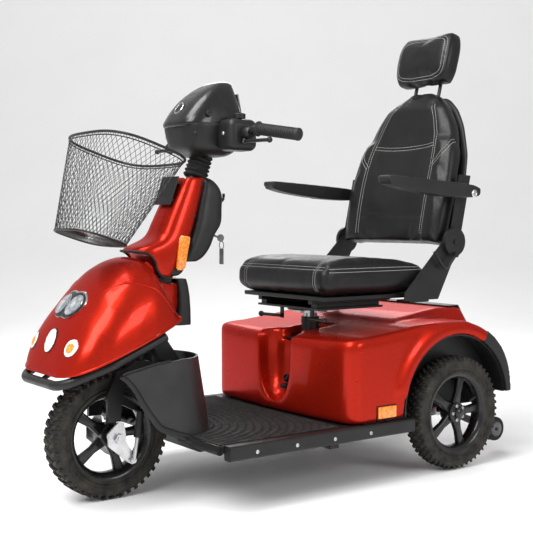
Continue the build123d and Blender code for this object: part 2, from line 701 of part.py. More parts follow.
def make_seat_post():
    post = Pos(0, POST_Y, (SEAT_BASE_Z - 52 + 210) / 2) * Cylinder(POST_R, SEAT_BASE_Z - 52 - 210)
    flange = Pos(0, POST_Y, SEAT_BASE_Z - 56) * Cylinder(52, 8)
    return post + flange


def make_turntable():
    low = SEAT_BASE_Z - 52 + 0.3
    disc = Pos(0, POST_Y, low + 4) * Cylinder(70, 8)
    plate = block((-150, 150), (CUSHION_FRONT + 45, CUSHION_FRONT + 300), (low + 8, low + 14))
    for x in (-LEVER_X, LEVER_X):
        plate += block((x - 7, x + 7), (LEVER_Y + 6, LEVER_Y + 11), (LEVER_Z - 8, low + 9))
        plate += Pos(x, LEVER_Y + 1, LEVER_Z) * Rot(90, 0, 0) * Cylinder(2, 12)
    return disc + plate


def make_slide_rail(side, upper):
    low = SEAT_BASE_Z - 52 + 0.3 + 14
    x = side * 125
    if upper:
        return block((x - 9, x + 9), (CUSHION_FRONT + 35, CUSHION_FRONT + 345), (low + 12.3, low + 24))
    return block((x - 13, x + 13), (CUSHION_FRONT + 50, CUSHION_FRONT + 295), (low, low + 12))


def make_seat_pan():
    top = SEAT_BASE_Z - GAP
    low = SEAT_BASE_Z - 52 + 0.3 + 14 + 24
    pan = block((-205, 205), (CUSHION_FRONT + 30, CUSHION_FRONT + 425), (low, top), 3)
    return pan


def make_cushion():
    z = SEAT_BASE_Z
    cushion = block((-CUSHION_HALF_W, CUSHION_HALF_W), (CUSHION_FRONT, CUSHION_FRONT + CUSHION_DEPTH),
                    (z, z + CUSHION_T), 26)
    return cushion


def make_recline_bracket(side):
    """Seat side plate with a diagonal stay up to the recline pivot."""
    x = CUSHION_HALF_W + 3
    y0, z0 = CUSHION_FRONT, SEAT_BASE_Z
    plate = side_profile([(y0 + 300, z0 - 20), (y0 + 300, z0 + 2), (RECLINE_Y - 26, RECLINE_Z + 16),
                          (RECLINE_Y + 20, RECLINE_Z + 20), (RECLINE_Y + 22, RECLINE_Z - 24),
                          (y0 + 440, z0 - 20)], x, x + 4)
    plate += block((190, x + 4), (y0 + 320, y0 + 400), (z0 - 26, z0 - 20 + GAP))
    plate += x_disc(x + 1, x + 20, RECLINE_Y, RECLINE_Z, RECLINE_PIN_R)
    return plate if side > 0 else mirrored(plate)


def back_line(height, ahead=0.0):
    """A point of the backrest's middle plane at a height above the recline pivot."""
    lean = radians(BACK_LEAN)
    y = RECLINE_Y + 4 + height * sin(lean) - ahead * cos(lean)
    return (y, RECLINE_Z + height * cos(lean) + ahead * sin(lean))


def make_backrest_arm(side):
    """Hinge cover and the flat bar that runs up the side of the backrest."""
    x = CUSHION_HALF_W + 7.5
    cover = x_disc(x, x + 12, RECLINE_Y, RECLINE_Z, 44)
    bar = side_profile([(RECLINE_Y - 20, RECLINE_Z), (RECLINE_Y + 26, RECLINE_Z - 6),
                        (ARM_PIVOT_Y + 42, ARM_PIVOT_Z + 60),
                        (ARM_PIVOT_Y - 6, ARM_PIVOT_Z + 62), (ARM_PIVOT_Y - 20, ARM_PIVOT_Z)], x, x + 4)
    arm = cover + bar
    arm -= x_disc(x - 20, x + 30, RECLINE_Y, RECLINE_Z, RECLINE_PIN_R + RUN_FIT)
    arm += x_disc(x + 2, ARM_X + 22, ARM_PIVOT_Y, ARM_PIVOT_Z, ARM_PIN_R)
    return arm if side > 0 else mirrored(arm)


def make_backrest_pad():
    front = [(5, 45), (150, 50), (330, 48), (470, 40), (500, 10)]
    back = [(500, -18), (330, -20), (90, -22), (0, -14)]
    outline = [back_line(height, ahead) for height, ahead in front + back]
    pad = side_profile(outline, -CUSHION_HALF_W, CUSHION_HALF_W, 8)
    for side in (-1, 1):
        pad -= lean_rod(side * 55, 425, 560, -8, HEADREST_POST_R + 0.4)
    lean_plane = Plane(origin=(0, *back_line(0)), x_dir=(1, 0, 0),
                       z_dir=(0, -cos(radians(BACK_LEAN)), sin(radians(BACK_LEAN))))
    top_points = [(240, -40), (240, 180), (228, 290), (180, 400), (110, 478), (0, 510)]
    left = [(-x, z) for x, z in reversed(top_points[:-1])]
    shape = extrude(lean_plane * Polygon(*top_points, *left, align=None), 120, both=True)
    return pad & shape


def make_backrest_shell():
    lean_plane = Plane(origin=(0, *back_line(0)), x_dir=(1, 0, 0),
                       z_dir=(0, -cos(radians(BACK_LEAN)), sin(radians(BACK_LEAN))))
    points = [(232, 20), (232, 180), (220, 285), (174, 392), (104, 468), (0, 496)]
    left = [(-x, z) for x, z in reversed(points)]
    plate = extrude(lean_plane * Polygon(*points, *left[1:], align=None), 90, both=True)
    outline = [back_line(height, ahead) for height, ahead in
               [(20, -23), (90, -23), (330, -23), (492, -23), (470, -42), (330, -52), (60, -48), (20, -36)]]
    return plate & side_profile(outline, -CUSHION_HALF_W, CUSHION_HALF_W)


def lean_rod(x, low, high, ahead, radius):
    """A round bar along the backrest's lean."""
    return rod(Vector(x, *back_line(low, ahead)), Vector(x, *back_line(high, ahead)), radius)


def make_headrest_posts():
    return [lean_rod(side * 55, 430, 540, -8, HEADREST_POST_R) for side in (-1, 1)]


def make_headrest_pad():
    corners = [(524, 62), (700, 52), (700, -24), (560, -34), (524, -20)]
    outline = [back_line(height, ahead) for height, ahead in corners]
    pad = side_profile(outline, -130, 130, 18)
    for side in (-1, 1):
        pad -= lean_rod(side * 55, 500, 541, -8, HEADREST_POST_R + 0.1)
    return pad


def make_armrest(side):
    x = side * ARM_X
    y0, z0 = ARM_TIP_Y, ARM_PIVOT_Z
    outline = [(y0, z0 + 40), (y0 + 2, z0 + 48), (y0 + 345, z0 + 27), (y0 + 384, z0 + 20),
               (y0 + 376, z0 + 8), (y0 + 350, z0 - 2), (y0 + 185, z0 + 10), (y0 + 40, z0 + 14)]
    arm = side_profile(outline, x - ARM_W / 2, x + ARM_W / 2)
    arm += x_disc(x - 16, x + 16, ARM_PIVOT_Y, ARM_PIVOT_Z, 19)
    return arm - x_disc(x - 60, x + 60, ARM_PIVOT_Y, ARM_PIVOT_Z, ARM_PIN_R + RUN_FIT)


def make_recline_lever():
    x = CUSHION_HALF_W + 22
    lever = bent_bar([(x + 3, RECLINE_Y - 4, RECLINE_Z - 40), (x + 3, RECLINE_Y - 48, RECLINE_Z - 88),
                      (x + 3, RECLINE_Y - 96, RECLINE_Z - 30)], 5, 20)
    return lever + x_disc(x - 1, x + 9, RECLINE_Y - 4, RECLINE_Z - 40, 8)


def make_seat_lever(side):
    """A short rod under the seat, hinged on its lug, with a round end."""
    start = Vector(LEVER_X - 7, LEVER_Y, LEVER_Z)
    end = Vector(LEVER_END_X, LEVER_Y - 12, LEVER_Z)
    lever = rod(start, end, 5) + Pos(*end) * Sphere(9)
    lever -= Pos(LEVER_X, LEVER_Y, LEVER_Z) * Rot(90, 0, 0) * Cylinder(2 + RUN_FIT, 20)
    return lever if side > 0 else mirrored(lever)


# ---- Write every node --------------------------------------------------------------------
def main():
    os.makedirs("parts", exist_ok=True)
    nodes = build_nodes()
    for name, solids in nodes.items():
        save(name, *(solids if isinstance(solids, (list, tuple)) else [solids]))


def build_nodes():
    rear_x = TRACK / 2
    key_barrel, key = make_key()
    nodes = {
        "chassis_frame": make_chassis_frame(),
        "side_rails": pair(make_side_rail()),
        "floor_pan": make_floor_pan(),
        "floor_mat": make_floor_mat(),
        "leg_shield": make_leg_shield(),
        "body_shell": make_body_shell(),
        "rear_panel": make_rear_panel(),
        "mudguards": [make_mudguard(side) for side in (-1, 1)],
        "tail_lights": [make_tail_light(side) for side in (-1, 1)],
        "side_reflectors": pair(make_side_reflector()),
        "batteries": [make_battery(side) for side in (-1, 1)],
        "controller": make_controller(),
        "transaxle": make_transaxle(),
        "antitip_bracket": make_antitip_bracket(),
        "fork": make_fork(),
        "axle_carriers": [*make_axle_carriers(), make_front_axle()],
        "nose_fender": make_nose_fender(),
        "headlight_housing": make_headlight_housing(),
        "headlight_lenses": [make_headlight_lens(side) for side in (-1, 1)],
        "nose_lamps": [make_nose_lamp(x, z, wide, high) for x, z, wide, high in NOSE_LAMPS],
        "bumper_bar": make_bumper_bar(),
        "neck_cover": make_neck_cover(),
        "tilt_bracket": make_tilt_bracket(),
        "front_tyre": make_tyre(FRONT_TYRE_W, 0, 0),
        "front_rim": make_rim(FRONT_TYRE_W, 0, 0, AXLE_R + RUN_FIT, 12),
        "tiller_column": make_tiller_column(),
        "tiller_cover": make_tiller_cover(),
        "tiller_rear_cover": [make_tiller_rear_cover(), key_barrel],
        "tiller_reflectors": pair(make_tiller_reflector()),
        "steering_boot": make_boot(),
        "console_head": make_console_head(),
        "handlebar": make_handlebar(),
        "grips": pair(make_grip()),
        "throttle_lever": make_lever(1),
        "brake_lever": make_lever(-1),
        "speed_dial": make_speed_dial(),
        "horn_button": make_button(-130, 346, 1027, 10),
        "ignition_key": [key, make_key_ring()],
        "basket": make_basket(),
        "seat_post": make_seat_post(),
        "seat_turntable": [make_turntable(), *(make_slide_rail(side, False) for side in (-1, 1))],
        "seat_pan": [make_seat_pan(), *(make_slide_rail(side, True) for side in (-1, 1))],
        "seat_cushion": make_cushion(),
        "recline_brackets": [make_recline_bracket(side) for side in (-1, 1)],
        "backrest_arms": [make_backrest_arm(side) for side in (-1, 1)],
        "backrest_pad": make_backrest_pad(),
        "backrest_shell": make_backrest_shell(),
        "headrest_posts": make_headrest_posts(),
        "headrest_pad": make_headrest_pad(),
        "recline_lever": make_recline_lever(),
        "swivel_lever": make_seat_lever(1),
        "slide_lever": make_seat_lever(-1),
    }
    for name, side in (("left", 1), ("right", -1)):
        nodes[f"rear_tyre_{name}"] = make_tyre(REAR_TYRE_W, side * rear_x, REAR_AXLE_Y)
        rim = make_rim(REAR_TYRE_W, side * rear_x, REAR_AXLE_Y, REAR_AXLE_R, side * 14)
        nodes[f"rear_rim_{name}"] = [rim, make_rear_shaft(side)]
        nodes[f"antitip_wheel_{name}"] = make_antitip_wheel(side)
        nodes[f"armrest_{name}"] = make_armrest(side)
    return nodes


main()
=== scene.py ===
from math import cos, pi, radians, sin, sqrt

import bmesh
import bpy
import numpy as np
from mathutils import Matrix, Vector
from mathutils.bvhtree import BVHTree


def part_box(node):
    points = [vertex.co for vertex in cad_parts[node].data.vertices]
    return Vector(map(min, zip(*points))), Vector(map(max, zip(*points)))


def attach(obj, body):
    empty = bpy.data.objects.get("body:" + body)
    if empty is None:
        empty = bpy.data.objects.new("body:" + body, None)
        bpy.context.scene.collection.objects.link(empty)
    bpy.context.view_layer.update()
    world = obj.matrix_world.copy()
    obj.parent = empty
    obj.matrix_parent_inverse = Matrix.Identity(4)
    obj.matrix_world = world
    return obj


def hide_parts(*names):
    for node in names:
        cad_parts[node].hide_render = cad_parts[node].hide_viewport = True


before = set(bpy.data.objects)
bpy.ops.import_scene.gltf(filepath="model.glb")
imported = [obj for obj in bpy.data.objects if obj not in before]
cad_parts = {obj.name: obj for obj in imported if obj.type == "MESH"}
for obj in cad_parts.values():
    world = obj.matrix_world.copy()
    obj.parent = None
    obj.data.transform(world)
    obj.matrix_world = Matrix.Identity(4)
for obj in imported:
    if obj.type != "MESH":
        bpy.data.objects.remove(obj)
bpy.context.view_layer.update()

MM = 0.001


def middle(node):
    low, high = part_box(node)
    return (Vector(low) + Vector(high)) / 2


FRONT_AXLE = middle("front_tyre")
REAR_AXLE = middle("rear_tyre_left")
WHEEL_R = FRONT_AXLE.z
AXLE_Y = FRONT_AXLE.y
REAR_Y = (REAR_AXLE.y - AXLE_Y) / MM
REAR_X = REAR_AXLE.x / MM
RAKE = radians(20)
LEAN = radians(14)
CAMERA_AZIMUTH = radians(53.865)
CAMERA_PITCH = radians(2.53)
SIDES = ((1, "left"), (-1, "right"))
ACROSS = (1, 0, 0)
BLOCK_FACES = [(0, 1, 3, 2), (4, 6, 7, 5), (0, 4, 5, 1), (2, 3, 7, 6), (0, 2, 6, 4), (1, 5, 7, 3)]


def at(x, y, z):
    """A point given in millimetres, with y from the front axle."""
    return Vector((x * MM, AXLE_Y + y * MM, z * MM))


# ---- Camera ------------------------------------------------------------------------------
def make_camera():
    data = bpy.data.cameras.new("camera")
    data.lens = 68.5
    data.sensor_width = 36
    camera = bpy.data.objects.new("camera", data)
    bpy.context.collection.objects.link(camera)
    camera.location = Vector((2.445, AXLE_Y - 1.252, 0.743))
    camera.rotation_euler = (pi / 2 - CAMERA_PITCH, 0, CAMERA_AZIMUTH)
    bpy.context.scene.camera = camera


make_camera()


# ---- Materials ---------------------------------------------------------------------------
class Maker:
    """Adds nodes to one material and links them in a line."""

    def __init__(self, name):
        self.material = bpy.data.materials.new(name)
        self.material.use_nodes = True
        self.nodes = self.material.node_tree.nodes
        self.links = self.material.node_tree.links
        self.shader = self.nodes["Principled BSDF"]
        self.place = self.nodes.new("ShaderNodeTexCoord").outputs["Object"]

    def noise(self, scale, detail=3.0, rough=0.5):
        node = self.nodes.new("ShaderNodeTexNoise")
        node.inputs["Scale"].default_value = scale
        node.inputs["Detail"].default_value = detail
        node.inputs["Roughness"].default_value = rough
        self.links.new(self.place, node.inputs["Vector"])
        return node.outputs["Fac"]

    def cells(self, scale, kind="F1"):
        node = self.nodes.new("ShaderNodeTexVoronoi")
        node.feature = kind
        node.inputs["Scale"].default_value = scale
        self.links.new(self.place, node.inputs["Vector"])
        return node.outputs["Distance"]

    def ramp(self, value, stops):
        node = self.nodes.new("ShaderNodeValToRGB")
        for element, (place, color) in zip(node.color_ramp.elements, stops):
            element.position = place
            element.color = (*color, 1)
        self.links.new(value, node.inputs["Fac"])
        return node.outputs["Color"]

    def spread(self, value, low, high, to_low, to_high):
        node = self.nodes.new("ShaderNodeMapRange")
        node.inputs["From Min"].default_value = low
        node.inputs["From Max"].default_value = high
        node.inputs["To Min"].default_value = to_low
        node.inputs["To Max"].default_value = to_high
        self.links.new(value, node.inputs["Value"])
        return node.outputs["Result"]

    def bump(self, value, strength, distance):
        node = self.nodes.new("ShaderNodeBump")
        node.inputs["Strength"].default_value = strength
        node.inputs["Distance"].default_value = distance
        self.links.new(value, node.inputs["Height"])
        if self.shader.inputs["Normal"].is_linked:
            self.links.new(self.shader.inputs["Normal"].links[0].from_socket, node.inputs["Normal"])
        self.links.new(node.outputs["Normal"], self.shader.inputs["Normal"])

    def put(self, socket, value):
        if isinstance(value, bpy.types.NodeSocket):
            self.links.new(value, self.shader.inputs[socket])
        elif isinstance(value, tuple):
            self.shader.inputs[socket].default_value = (*value, 1)
        else:
            self.shader.inputs[socket].default_value = value


def grey(value):
    return (value, value, value)


def paint(name, dark, light):
    """Metallic candy paint under a clear coat, with fine flake and faint orange peel."""
    m = Maker(name)
    m.put("Base Color", m.ramp(m.noise(900, 2), [(0.35, dark), (0.65, light)]))
    m.put("Roughness", m.spread(m.noise(14, 2), 0.3, 0.7, 0.26, 0.33))
    m.put("Metallic", 0.65)
    m.put("Specular IOR Level", 0.15)
    m.put("Specular Tint", (0.75, 0.16, 0.11))
    m.put("Coat Weight", 0.16)
    m.put("Coat Roughness", 0.06)
    m.bump(m.noise(55, 1), 0.03, 0.002)
    return m.material


def plastic(name, dark, light, rough, grain=700, depth=0.25, coat=0.0):
    """Moulded plastic with a fine grain and slow changes of tone."""
    m = Maker(name)
    m.put("Base Color", m.ramp(m.noise(9, 4), [(0.3, dark), (0.75, light)]))
    m.put("Roughness", m.spread(m.noise(40, 3), 0.3, 0.7, rough - 0.05, rough + 0.06))
    m.put("Coat Weight", coat)
    m.put("Specular IOR Level", 0.32)
    m.bump(m.cells(grain), depth, 0.0005)
    return m.material


def metal(name, dark, light, rough):
    m = Maker(name)
    m.put("Base Color", m.ramp(m.noise(30, 5), [(0.3, dark), (0.7, light)]))
    m.put("Metallic", 1.0)
    m.put("Roughness", m.spread(m.noise(120, 4), 0.3, 0.7, rough - 0.07, rough + 0.1))
    m.bump(m.noise(400, 3), 0.08, 0.0005)
    return m.material


def leather(name):
    m = Maker(name)
    m.put("Base Color", m.ramp(m.noise(7, 4), [(0.3, grey(0.004)), (0.75, grey(0.009))]))
    m.put("Roughness", m.spread(m.noise(30, 4), 0.3, 0.7, 0.34, 0.46))
    m.put("Specular IOR Level", 0.3)
    m.bump(m.cells(420, "SMOOTH_F1"), 0.35, 0.0008)
    m.bump(m.noise(38, 4), 0.25, 0.002)
    return m.material


def rubber(name, dark, dust):
    """Tyre rubber with dust in patches."""
    m = Maker(name)
    m.put("Base Color", m.ramp(m.noise(28, 6, 0.65), [(0.38, dark), (0.7, dust)]))
    m.put("Roughness", m.spread(m.noise(60, 4), 0.3, 0.7, 0.62, 0.85))
    m.put("Specular IOR Level", 0.25)
    m.bump(m.noise(350, 5), 0.3, 0.0008)
    return m.material


def reflector(name, dark, light, cells=160):
    m = Maker(name)
    m.put("Base Color", m.ramp(m.cells(cells), [(0.0, light), (0.8, dark)]))
    m.put("Roughness", 0.15)
    m.put("Coat Weight", 1.0)
    m.bump(m.cells(cells), 0.5, 0.001)
    return m.material


def clear_lens(name):
    m = Maker(name)
    m.put("Base Color", m.ramp(m.noise(60, 2), [(0.3, (0.75, 0.8, 0.85)), (0.7, (0.95, 0.97, 1.0))]))
    m.put("Roughness", 0.05)
    m.put("Transmission Weight", 0.85)
    m.put("IOR", 1.45)
    m.bump(m.noise(160, 1), 0.1, 0.001)
    return m.material


def thread(name, color):
    m = Maker(name)
    m.put("Base Color", m.ramp(m.noise(900, 3), [(0.3, tuple(0.6 * c for c in color)), (0.7, color)]))
    m.put("Roughness", 0.7)
    m.bump(m.noise(2500, 2), 0.4, 0.0003)
    return m.material


RED = paint("red_paint", (0.28, 0.008, 0.003), (0.52, 0.022, 0.008))
BLACK = plastic("black_plastic", grey(0.006), grey(0.014), 0.4)
SOFT_BLACK = plastic("soft_black_plastic", grey(0.008), grey(0.018), 0.5)
GLOSS_BLACK = plastic("gloss_black", grey(0.004), grey(0.009), 0.28, 900, 0.05, 0.25)
SHIELD = plastic("shield_plastic", (0.020, 0.020, 0.021), (0.034, 0.034, 0.036), 0.34, 900, 0.15)
POWDER = plastic("powder_coat", grey(0.006), grey(0.014), 0.38, 1500, 0.2)
GREY = plastic("grey_trim", (0.03, 0.03, 0.033), (0.06, 0.06, 0.065), 0.25, 900, 0.05, 0.8)
STEEL = metal("zinc_steel", (0.42, 0.42, 0.43), (0.66, 0.66, 0.67), 0.3)
KEY_STEEL = metal("key_steel", (0.10, 0.10, 0.105), (0.22, 0.22, 0.225), 0.35)
CHROME = metal("bright_metal", (0.62, 0.62, 0.63), (0.8, 0.8, 0.81), 0.13)
LEATHER = leather("black_leather")
TYRE = rubber("tyre_rubber", grey(0.010), (0.045, 0.040, 0.032))
MAT_RUBBER = rubber("mat_rubber", grey(0.009), (0.024, 0.023, 0.022))
GRIP_RUBBER = plastic("grip_rubber", grey(0.010), grey(0.02), 0.62, 500, 0.4)
AMBER = reflector("amber_reflector", (0.75, 0.16, 0.0), (1.0, 0.4, 0.02))
RED_LENS = reflector("red_lens", (0.35, 0.0, 0.0), (0.8, 0.02, 0.01))
WHITE_LENS = reflector("white_lens", (0.65, 0.64, 0.62), (0.95, 0.94, 0.92))
HEADLIGHT = reflector("headlight_bowl", (0.12, 0.12, 0.13), (0.75, 0.76, 0.78), 60)
LENS = clear_lens("clear_lens")
STITCH = thread("pale_thread", (0.5, 0.5, 0.48))


# ---- Mesh makers -------------------------------------------------------------------------
def new_object(name, verts, faces, material, smooth_angle=40):
    mesh = bpy.data.meshes.new(name)
    mesh.from_pydata([tuple(v) for v in verts], [], faces)
    mesh.validate()
    obj = bpy.data.objects.new(name, mesh)
    bpy.context.collection.objects.link(obj)
    mesh.materials.append(material)
    tidy_mesh(obj)
    shade(obj, smooth_angle)
    return obj


def grid_faces(rows, wide, round_rows=False, round_wide=False, start=0):
    """Quads of a grid of points that may close on itself either way."""
    return [(start + i * wide + k, start + i * wide + (k + 1) % wide,
             start + (i + 1) % rows * wide + (k + 1) % wide, start + (i + 1) % rows * wide + k)
            for i in range(rows if round_rows else rows - 1) for k in range(wide if round_wide else wide - 1)]


def end_faces(rows, wide):
    """The two closing faces of a grid."""
    return [tuple(range(wide)), tuple(range((rows - 1) * wide, rows * wide))]


def bent(value, power):
    """A sine or cosine squared off by a power, with its sign kept."""
    return np.sign(value) * abs(value) ** power


def tidy_mesh(obj):
    bm = bmesh.new()
    bm.from_mesh(obj.data)
    bmesh.ops.remove_doubles(bm, verts=bm.verts, dist=1e-6)
    bmesh.ops.recalc_face_normals(bm, faces=bm.faces)
    bm.to_mesh(obj.data)
    bm.free()


def shade(obj, angle):
    for polygon in obj.data.polygons:
        polygon.use_smooth = True
    obj.data.set_sharp_from_angle(angle=radians(angle))


def points_of(mesh):
    """The points of a mesh as rows of an array, in metres."""
    co = np.empty(len(mesh.vertices) * 3)
    mesh.vertices.foreach_get("co", co)
    return co.reshape(-1, 3)


def distance_along(points):
    """How far along a line of points each of them is."""
    return np.concatenate([[0], np.cumsum(np.linalg.norm(np.diff(points, axis=0), axis=1))])


def bake(obj):
    """Apply all modifiers of an object of our own."""
    evaluated = obj.evaluated_get(bpy.context.evaluated_depsgraph_get())
    mesh = bpy.data.meshes.new_from_object(evaluated)
    obj.modifiers.clear()
    obj.data = mesh


def modify(obj, kind, **values):
    modifier = obj.modifiers.new(kind.lower(), kind)
    for key, value in values.items():
        setattr(modifier, key, value)
    return modifier


def bevel(obj, width, segments=3, angle=35):
    modify(obj, "BEVEL", width=width * MM, segments=segments, limit_method="ANGLE", angle_limit=radians(angle))
    bake(obj)
    shade(obj, 50)


def ride(obj, body, slot, *replaced):
    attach(obj, body)
    if replaced:
        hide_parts(*replaced)
    return obj


def smooth_line(points, count):
    """Points along a Catmull-Rom curve through the given ones."""
    p = np.array(points, dtype=float)
    p = np.vstack([2 * p[0] - p[1], p, 2 * p[-1] - p[-2]])
    spans = len(p) - 3
    out = []
    for k in range(count):
        t = k / (count - 1) * spans
        i = min(int(t), spans - 1)
        t -= i
        a, b, c, d = p[i:i + 4]
        out.append(0.5 * (2 * b + (c - a) * t + (2 * a - 5 * b + 4 * c - d) * t ** 2
                          + (3 * b - a - 3 * c + d) * t ** 3))
    return np.array(out)


def tube(name, points, radius, material, closed=False, sides=16, count=None):
    """A round bar along a smooth line, in millimetres."""
    if count:
        points = smooth_line(points, count)
    world = [at(*p) for p in points]
    n = len(world)
    verts = []
    up = Vector((0, 0, 1))
    for i, p in enumerate(world):
        before = world[(i - 1) % n] if closed or i else p
        after = world[(i + 1) % n] if closed or i < n - 1 else p
        direction = (after - before).normalized()
        side = direction.cross(up)
        if side.length < 0.1:
            side = direction.cross(Vector(ACROSS))
        side.normalize()
        top = side.cross(direction)
        size = (radius[i] if isinstance(radius, (list, np.ndarray)) else radius) * MM
        for k in range(sides):
            a = 2 * pi * k / sides
            verts.append(p + (side * cos(a) + top * sin(a)) * size)
    faces = grid_faces(n, sides, closed, True) + ([] if closed else end_faces(n, sides))
    return new_object(name, verts, faces, material)


def turned(name, profile, centre, axis, material, sides=96, angle=35):
    """A body of revolution: profile of (along, radius) about axis through centre (mm)."""
    axis = Vector(axis).normalized()
    u = axis.orthogonal().normalized()
    v = axis.cross(u)
    c = at(*centre)
    verts = []
    rows = len(profile)
    for k in range(sides):
        a = 2 * pi * k / sides
        for along, radius in profile:
            verts.append(c + axis * along * MM + (u * cos(a) + v * sin(a)) * radius * MM)
    faces = grid_faces(sides, rows, True)
    if profile[0] != profile[-1]:
        faces += [tuple(k * rows + end for k in range(sides)) for end in (0, rows - 1)]
    return new_object(name, verts, faces, material, angle)


def prism(name, outline, half, material, x=0.0, taper=None):
    """A closed solid with a (y, z) outline, between x - half and x + half.

    taper(y, z) scales the half-width at a point of the outline."""
    n = len(outline)
    verts = [at(x + side * half * (taper(y, z) if taper else 1.0), y, z)
             for side in (-1, 1) for y, z in outline]
    return new_object(name, verts, end_faces(2, n) + grid_faces(2, n, False, True), material)


def cut(obj, *tools, operation="DIFFERENCE"):
    for tool in tools:
        modify(obj, "BOOLEAN", object=tool, operation=operation, solver="EXACT")
        bake(obj)
        bpy.data.objects.remove(tool)
    return obj


def moulded(obj, voxel, rounds, factor=0.5):
    """Turn a rough closed solid into one smooth moulded skin."""
    modify(obj, "REMESH", mode="VOXEL", voxel_size=voxel * MM)
    modify(obj, "SMOOTH", factor=factor, iterations=rounds)
    bake(obj)
    shade(obj, 60)
    return obj


def calm_normals(obj, rounds=14, alike=0.93):
    """Even out the shading of a moulded skin, without softening its true edges."""
    mesh = obj.data
    n = np.empty(len(mesh.vertices) * 3)
    mesh.vertex_normals.foreach_get("vector", n)
    n = n.reshape(-1, 3)
    e = np.empty(len(mesh.edges) * 2, dtype=np.int64)
    mesh.edges.foreach_get("vertices", e)
    a, b = e.reshape(-1, 2).T
    for _ in range(rounds):
        weight = ((n[a] * n[b]).sum(axis=1) > alike).astype(float)
        total = n.copy()
        for k in range(3):
            total[:, k] += np.bincount(a, weight * n[b, k], len(n)) + np.bincount(b, weight * n[a, k], len(n))
        n = total / np.linalg.norm(total, axis=1)[:, None]
    mesh.normals_split_custom_set_from_vertices(n.tolist())


def slab(name, x, y, z, material, edge=2.0, segments=3):
    """A block from (low, high) pairs with rounded edges."""
    verts = [at(a, b, c) for a in x for b in y for c in z]
    obj = new_object(name, verts, BLOCK_FACES, material)
    bevel(obj, edge, segments)
    return obj


def joined(name, objects):
    """One object from several."""
    bm = bmesh.new()
    materials = []
    for obj in objects:
        for material in obj.data.materials:
            if material not in materials:
                materials.append(material)
    for obj in objects:
        slots = [materials.index(material) for material in obj.data.materials]
        start = len(bm.faces)
        bm.from_mesh(obj.data)
        bm.faces.ensure_lookup_table()
        for face in bm.faces[start:]:
            face.material_index = slots[face.material_index] if slots else 0
    mesh = bpy.data.meshes.new(name)
    bm.to_mesh(mesh)
    bm.free()
    for material in materials:
        mesh.materials.append(material)
    for obj in objects:
        bpy.data.objects.remove(obj)
    result = bpy.data.objects.new(name, mesh)
    bpy.context.collection.objects.link(result)
    return result


# ---- Wheels ------------------------------------------------------------------------------
RIM_R = 119


def tread_block(x_low, x_high, skew, length, base_r, top_r, angle):
    """Corners of one tread block that leans by skew (mm round the tyre) across its width."""
    corners = []
    for radius, shrink in ((base_r, 0.0), (top_r, 1.2)):
        for x, shift in ((x_low + shrink, 0.0), (x_high - shrink, skew)):
            for end in (-1, 1):
                around = shift + end * (length / 2 - shrink)
                corners.append((x, radius, angle + around / base_r))
    return corners


def make_tyre(name, body, x, y, width, blocks, rows):
    half = width / 2
    edge = WHEEL_R / MM
    side_r = edge - 20
    wall = [(0.74, RIM_R - 1), (0.86, RIM_R + 5), (0.97, RIM_R + 18), (0.98, side_r - 8), (0.93, side_r + 6),
            (0.7, edge - 8), (0.35, edge - 5.5)]
    profile = [(-half * f, r) for f, r in wall] + [(0, edge - 5)] + [(half * f, r) for f, r in reversed(wall)]
    profile = [tuple(p) for p in smooth_line(profile, 57)] + [(0, RIM_R - 1), profile[0]]
    carcass = turned("carcass", profile, (x, y, edge), ACROSS, TYRE, 120)
    verts, faces = [], []
    for i in range(blocks):
        angle = 2 * pi * i / blocks
        for x_low, x_high, skew, length, base_r, top_r, phase in rows:
            corners = tread_block(x_low, x_high, skew, length, base_r, top_r, angle + phase * 2 * pi / blocks)
            start = len(verts)
            verts += [at(x + cx, y, edge) + Vector((0, sin(a), cos(a))) * r * MM for cx, r, a in corners]
            faces += [tuple(start + k for k in face) for face in BLOCK_FACES]
    tread = new_object("tread", verts, faces, TYRE, 30)
    ribs = []
    for side in (-1, 1):
        for radius in (RIM_R + 9, side_r - 12):
            ring = [(side * half * 0.9, radius - 2), (side * (half * 0.985 + 0.6), radius),
                    (side * half * 0.9, radius + 2), (side * half * 0.9, radius - 2)]
            ribs.append(turned("rib", ring, (x, y, edge), ACROSS, TYRE, 96))
    tyre = joined(name, [carcass, tread, *ribs])
    return ride(tyre, body, "tyre", name)


def front_rows():
    edge = WHEEL_R / MM
    rows = []
    for side in (-1, 1):
        rows.append((side * 17 - 14, side * 17 + 14, side * 9, 12, edge - 7, edge - 0.3, 0.25 * side + 0.25))
        rows.append((*sorted((side * 28, side * 37)), 0, 8, edge - 20, edge - 5, 0.25 * side + 0.55))
    rows.append((-5, 5, 0, 6, edge - 6, edge - 0.6, 0.75))
    return rows


def rear_rows():
    edge = WHEEL_R / MM
    rows = [(-6, 6, 2, 9, edge - 7, edge - 0.3, 0.0)]
    for side in (-1, 1):
        rows.append((*sorted((side * 9, side * 20)), side * 3, 9, edge - 8, edge - 0.8, 0.5))
        rows.append((*sorted((side * 21, side * 31)), side * 3, 8, edge - 17, edge - 4, 0.0))
    return rows


def mirrored(half):
    """A whole profile from its outer half, given as (along, radius) from the bore outwards."""
    return [(-along, r) for along, r in half] + half[::-1]


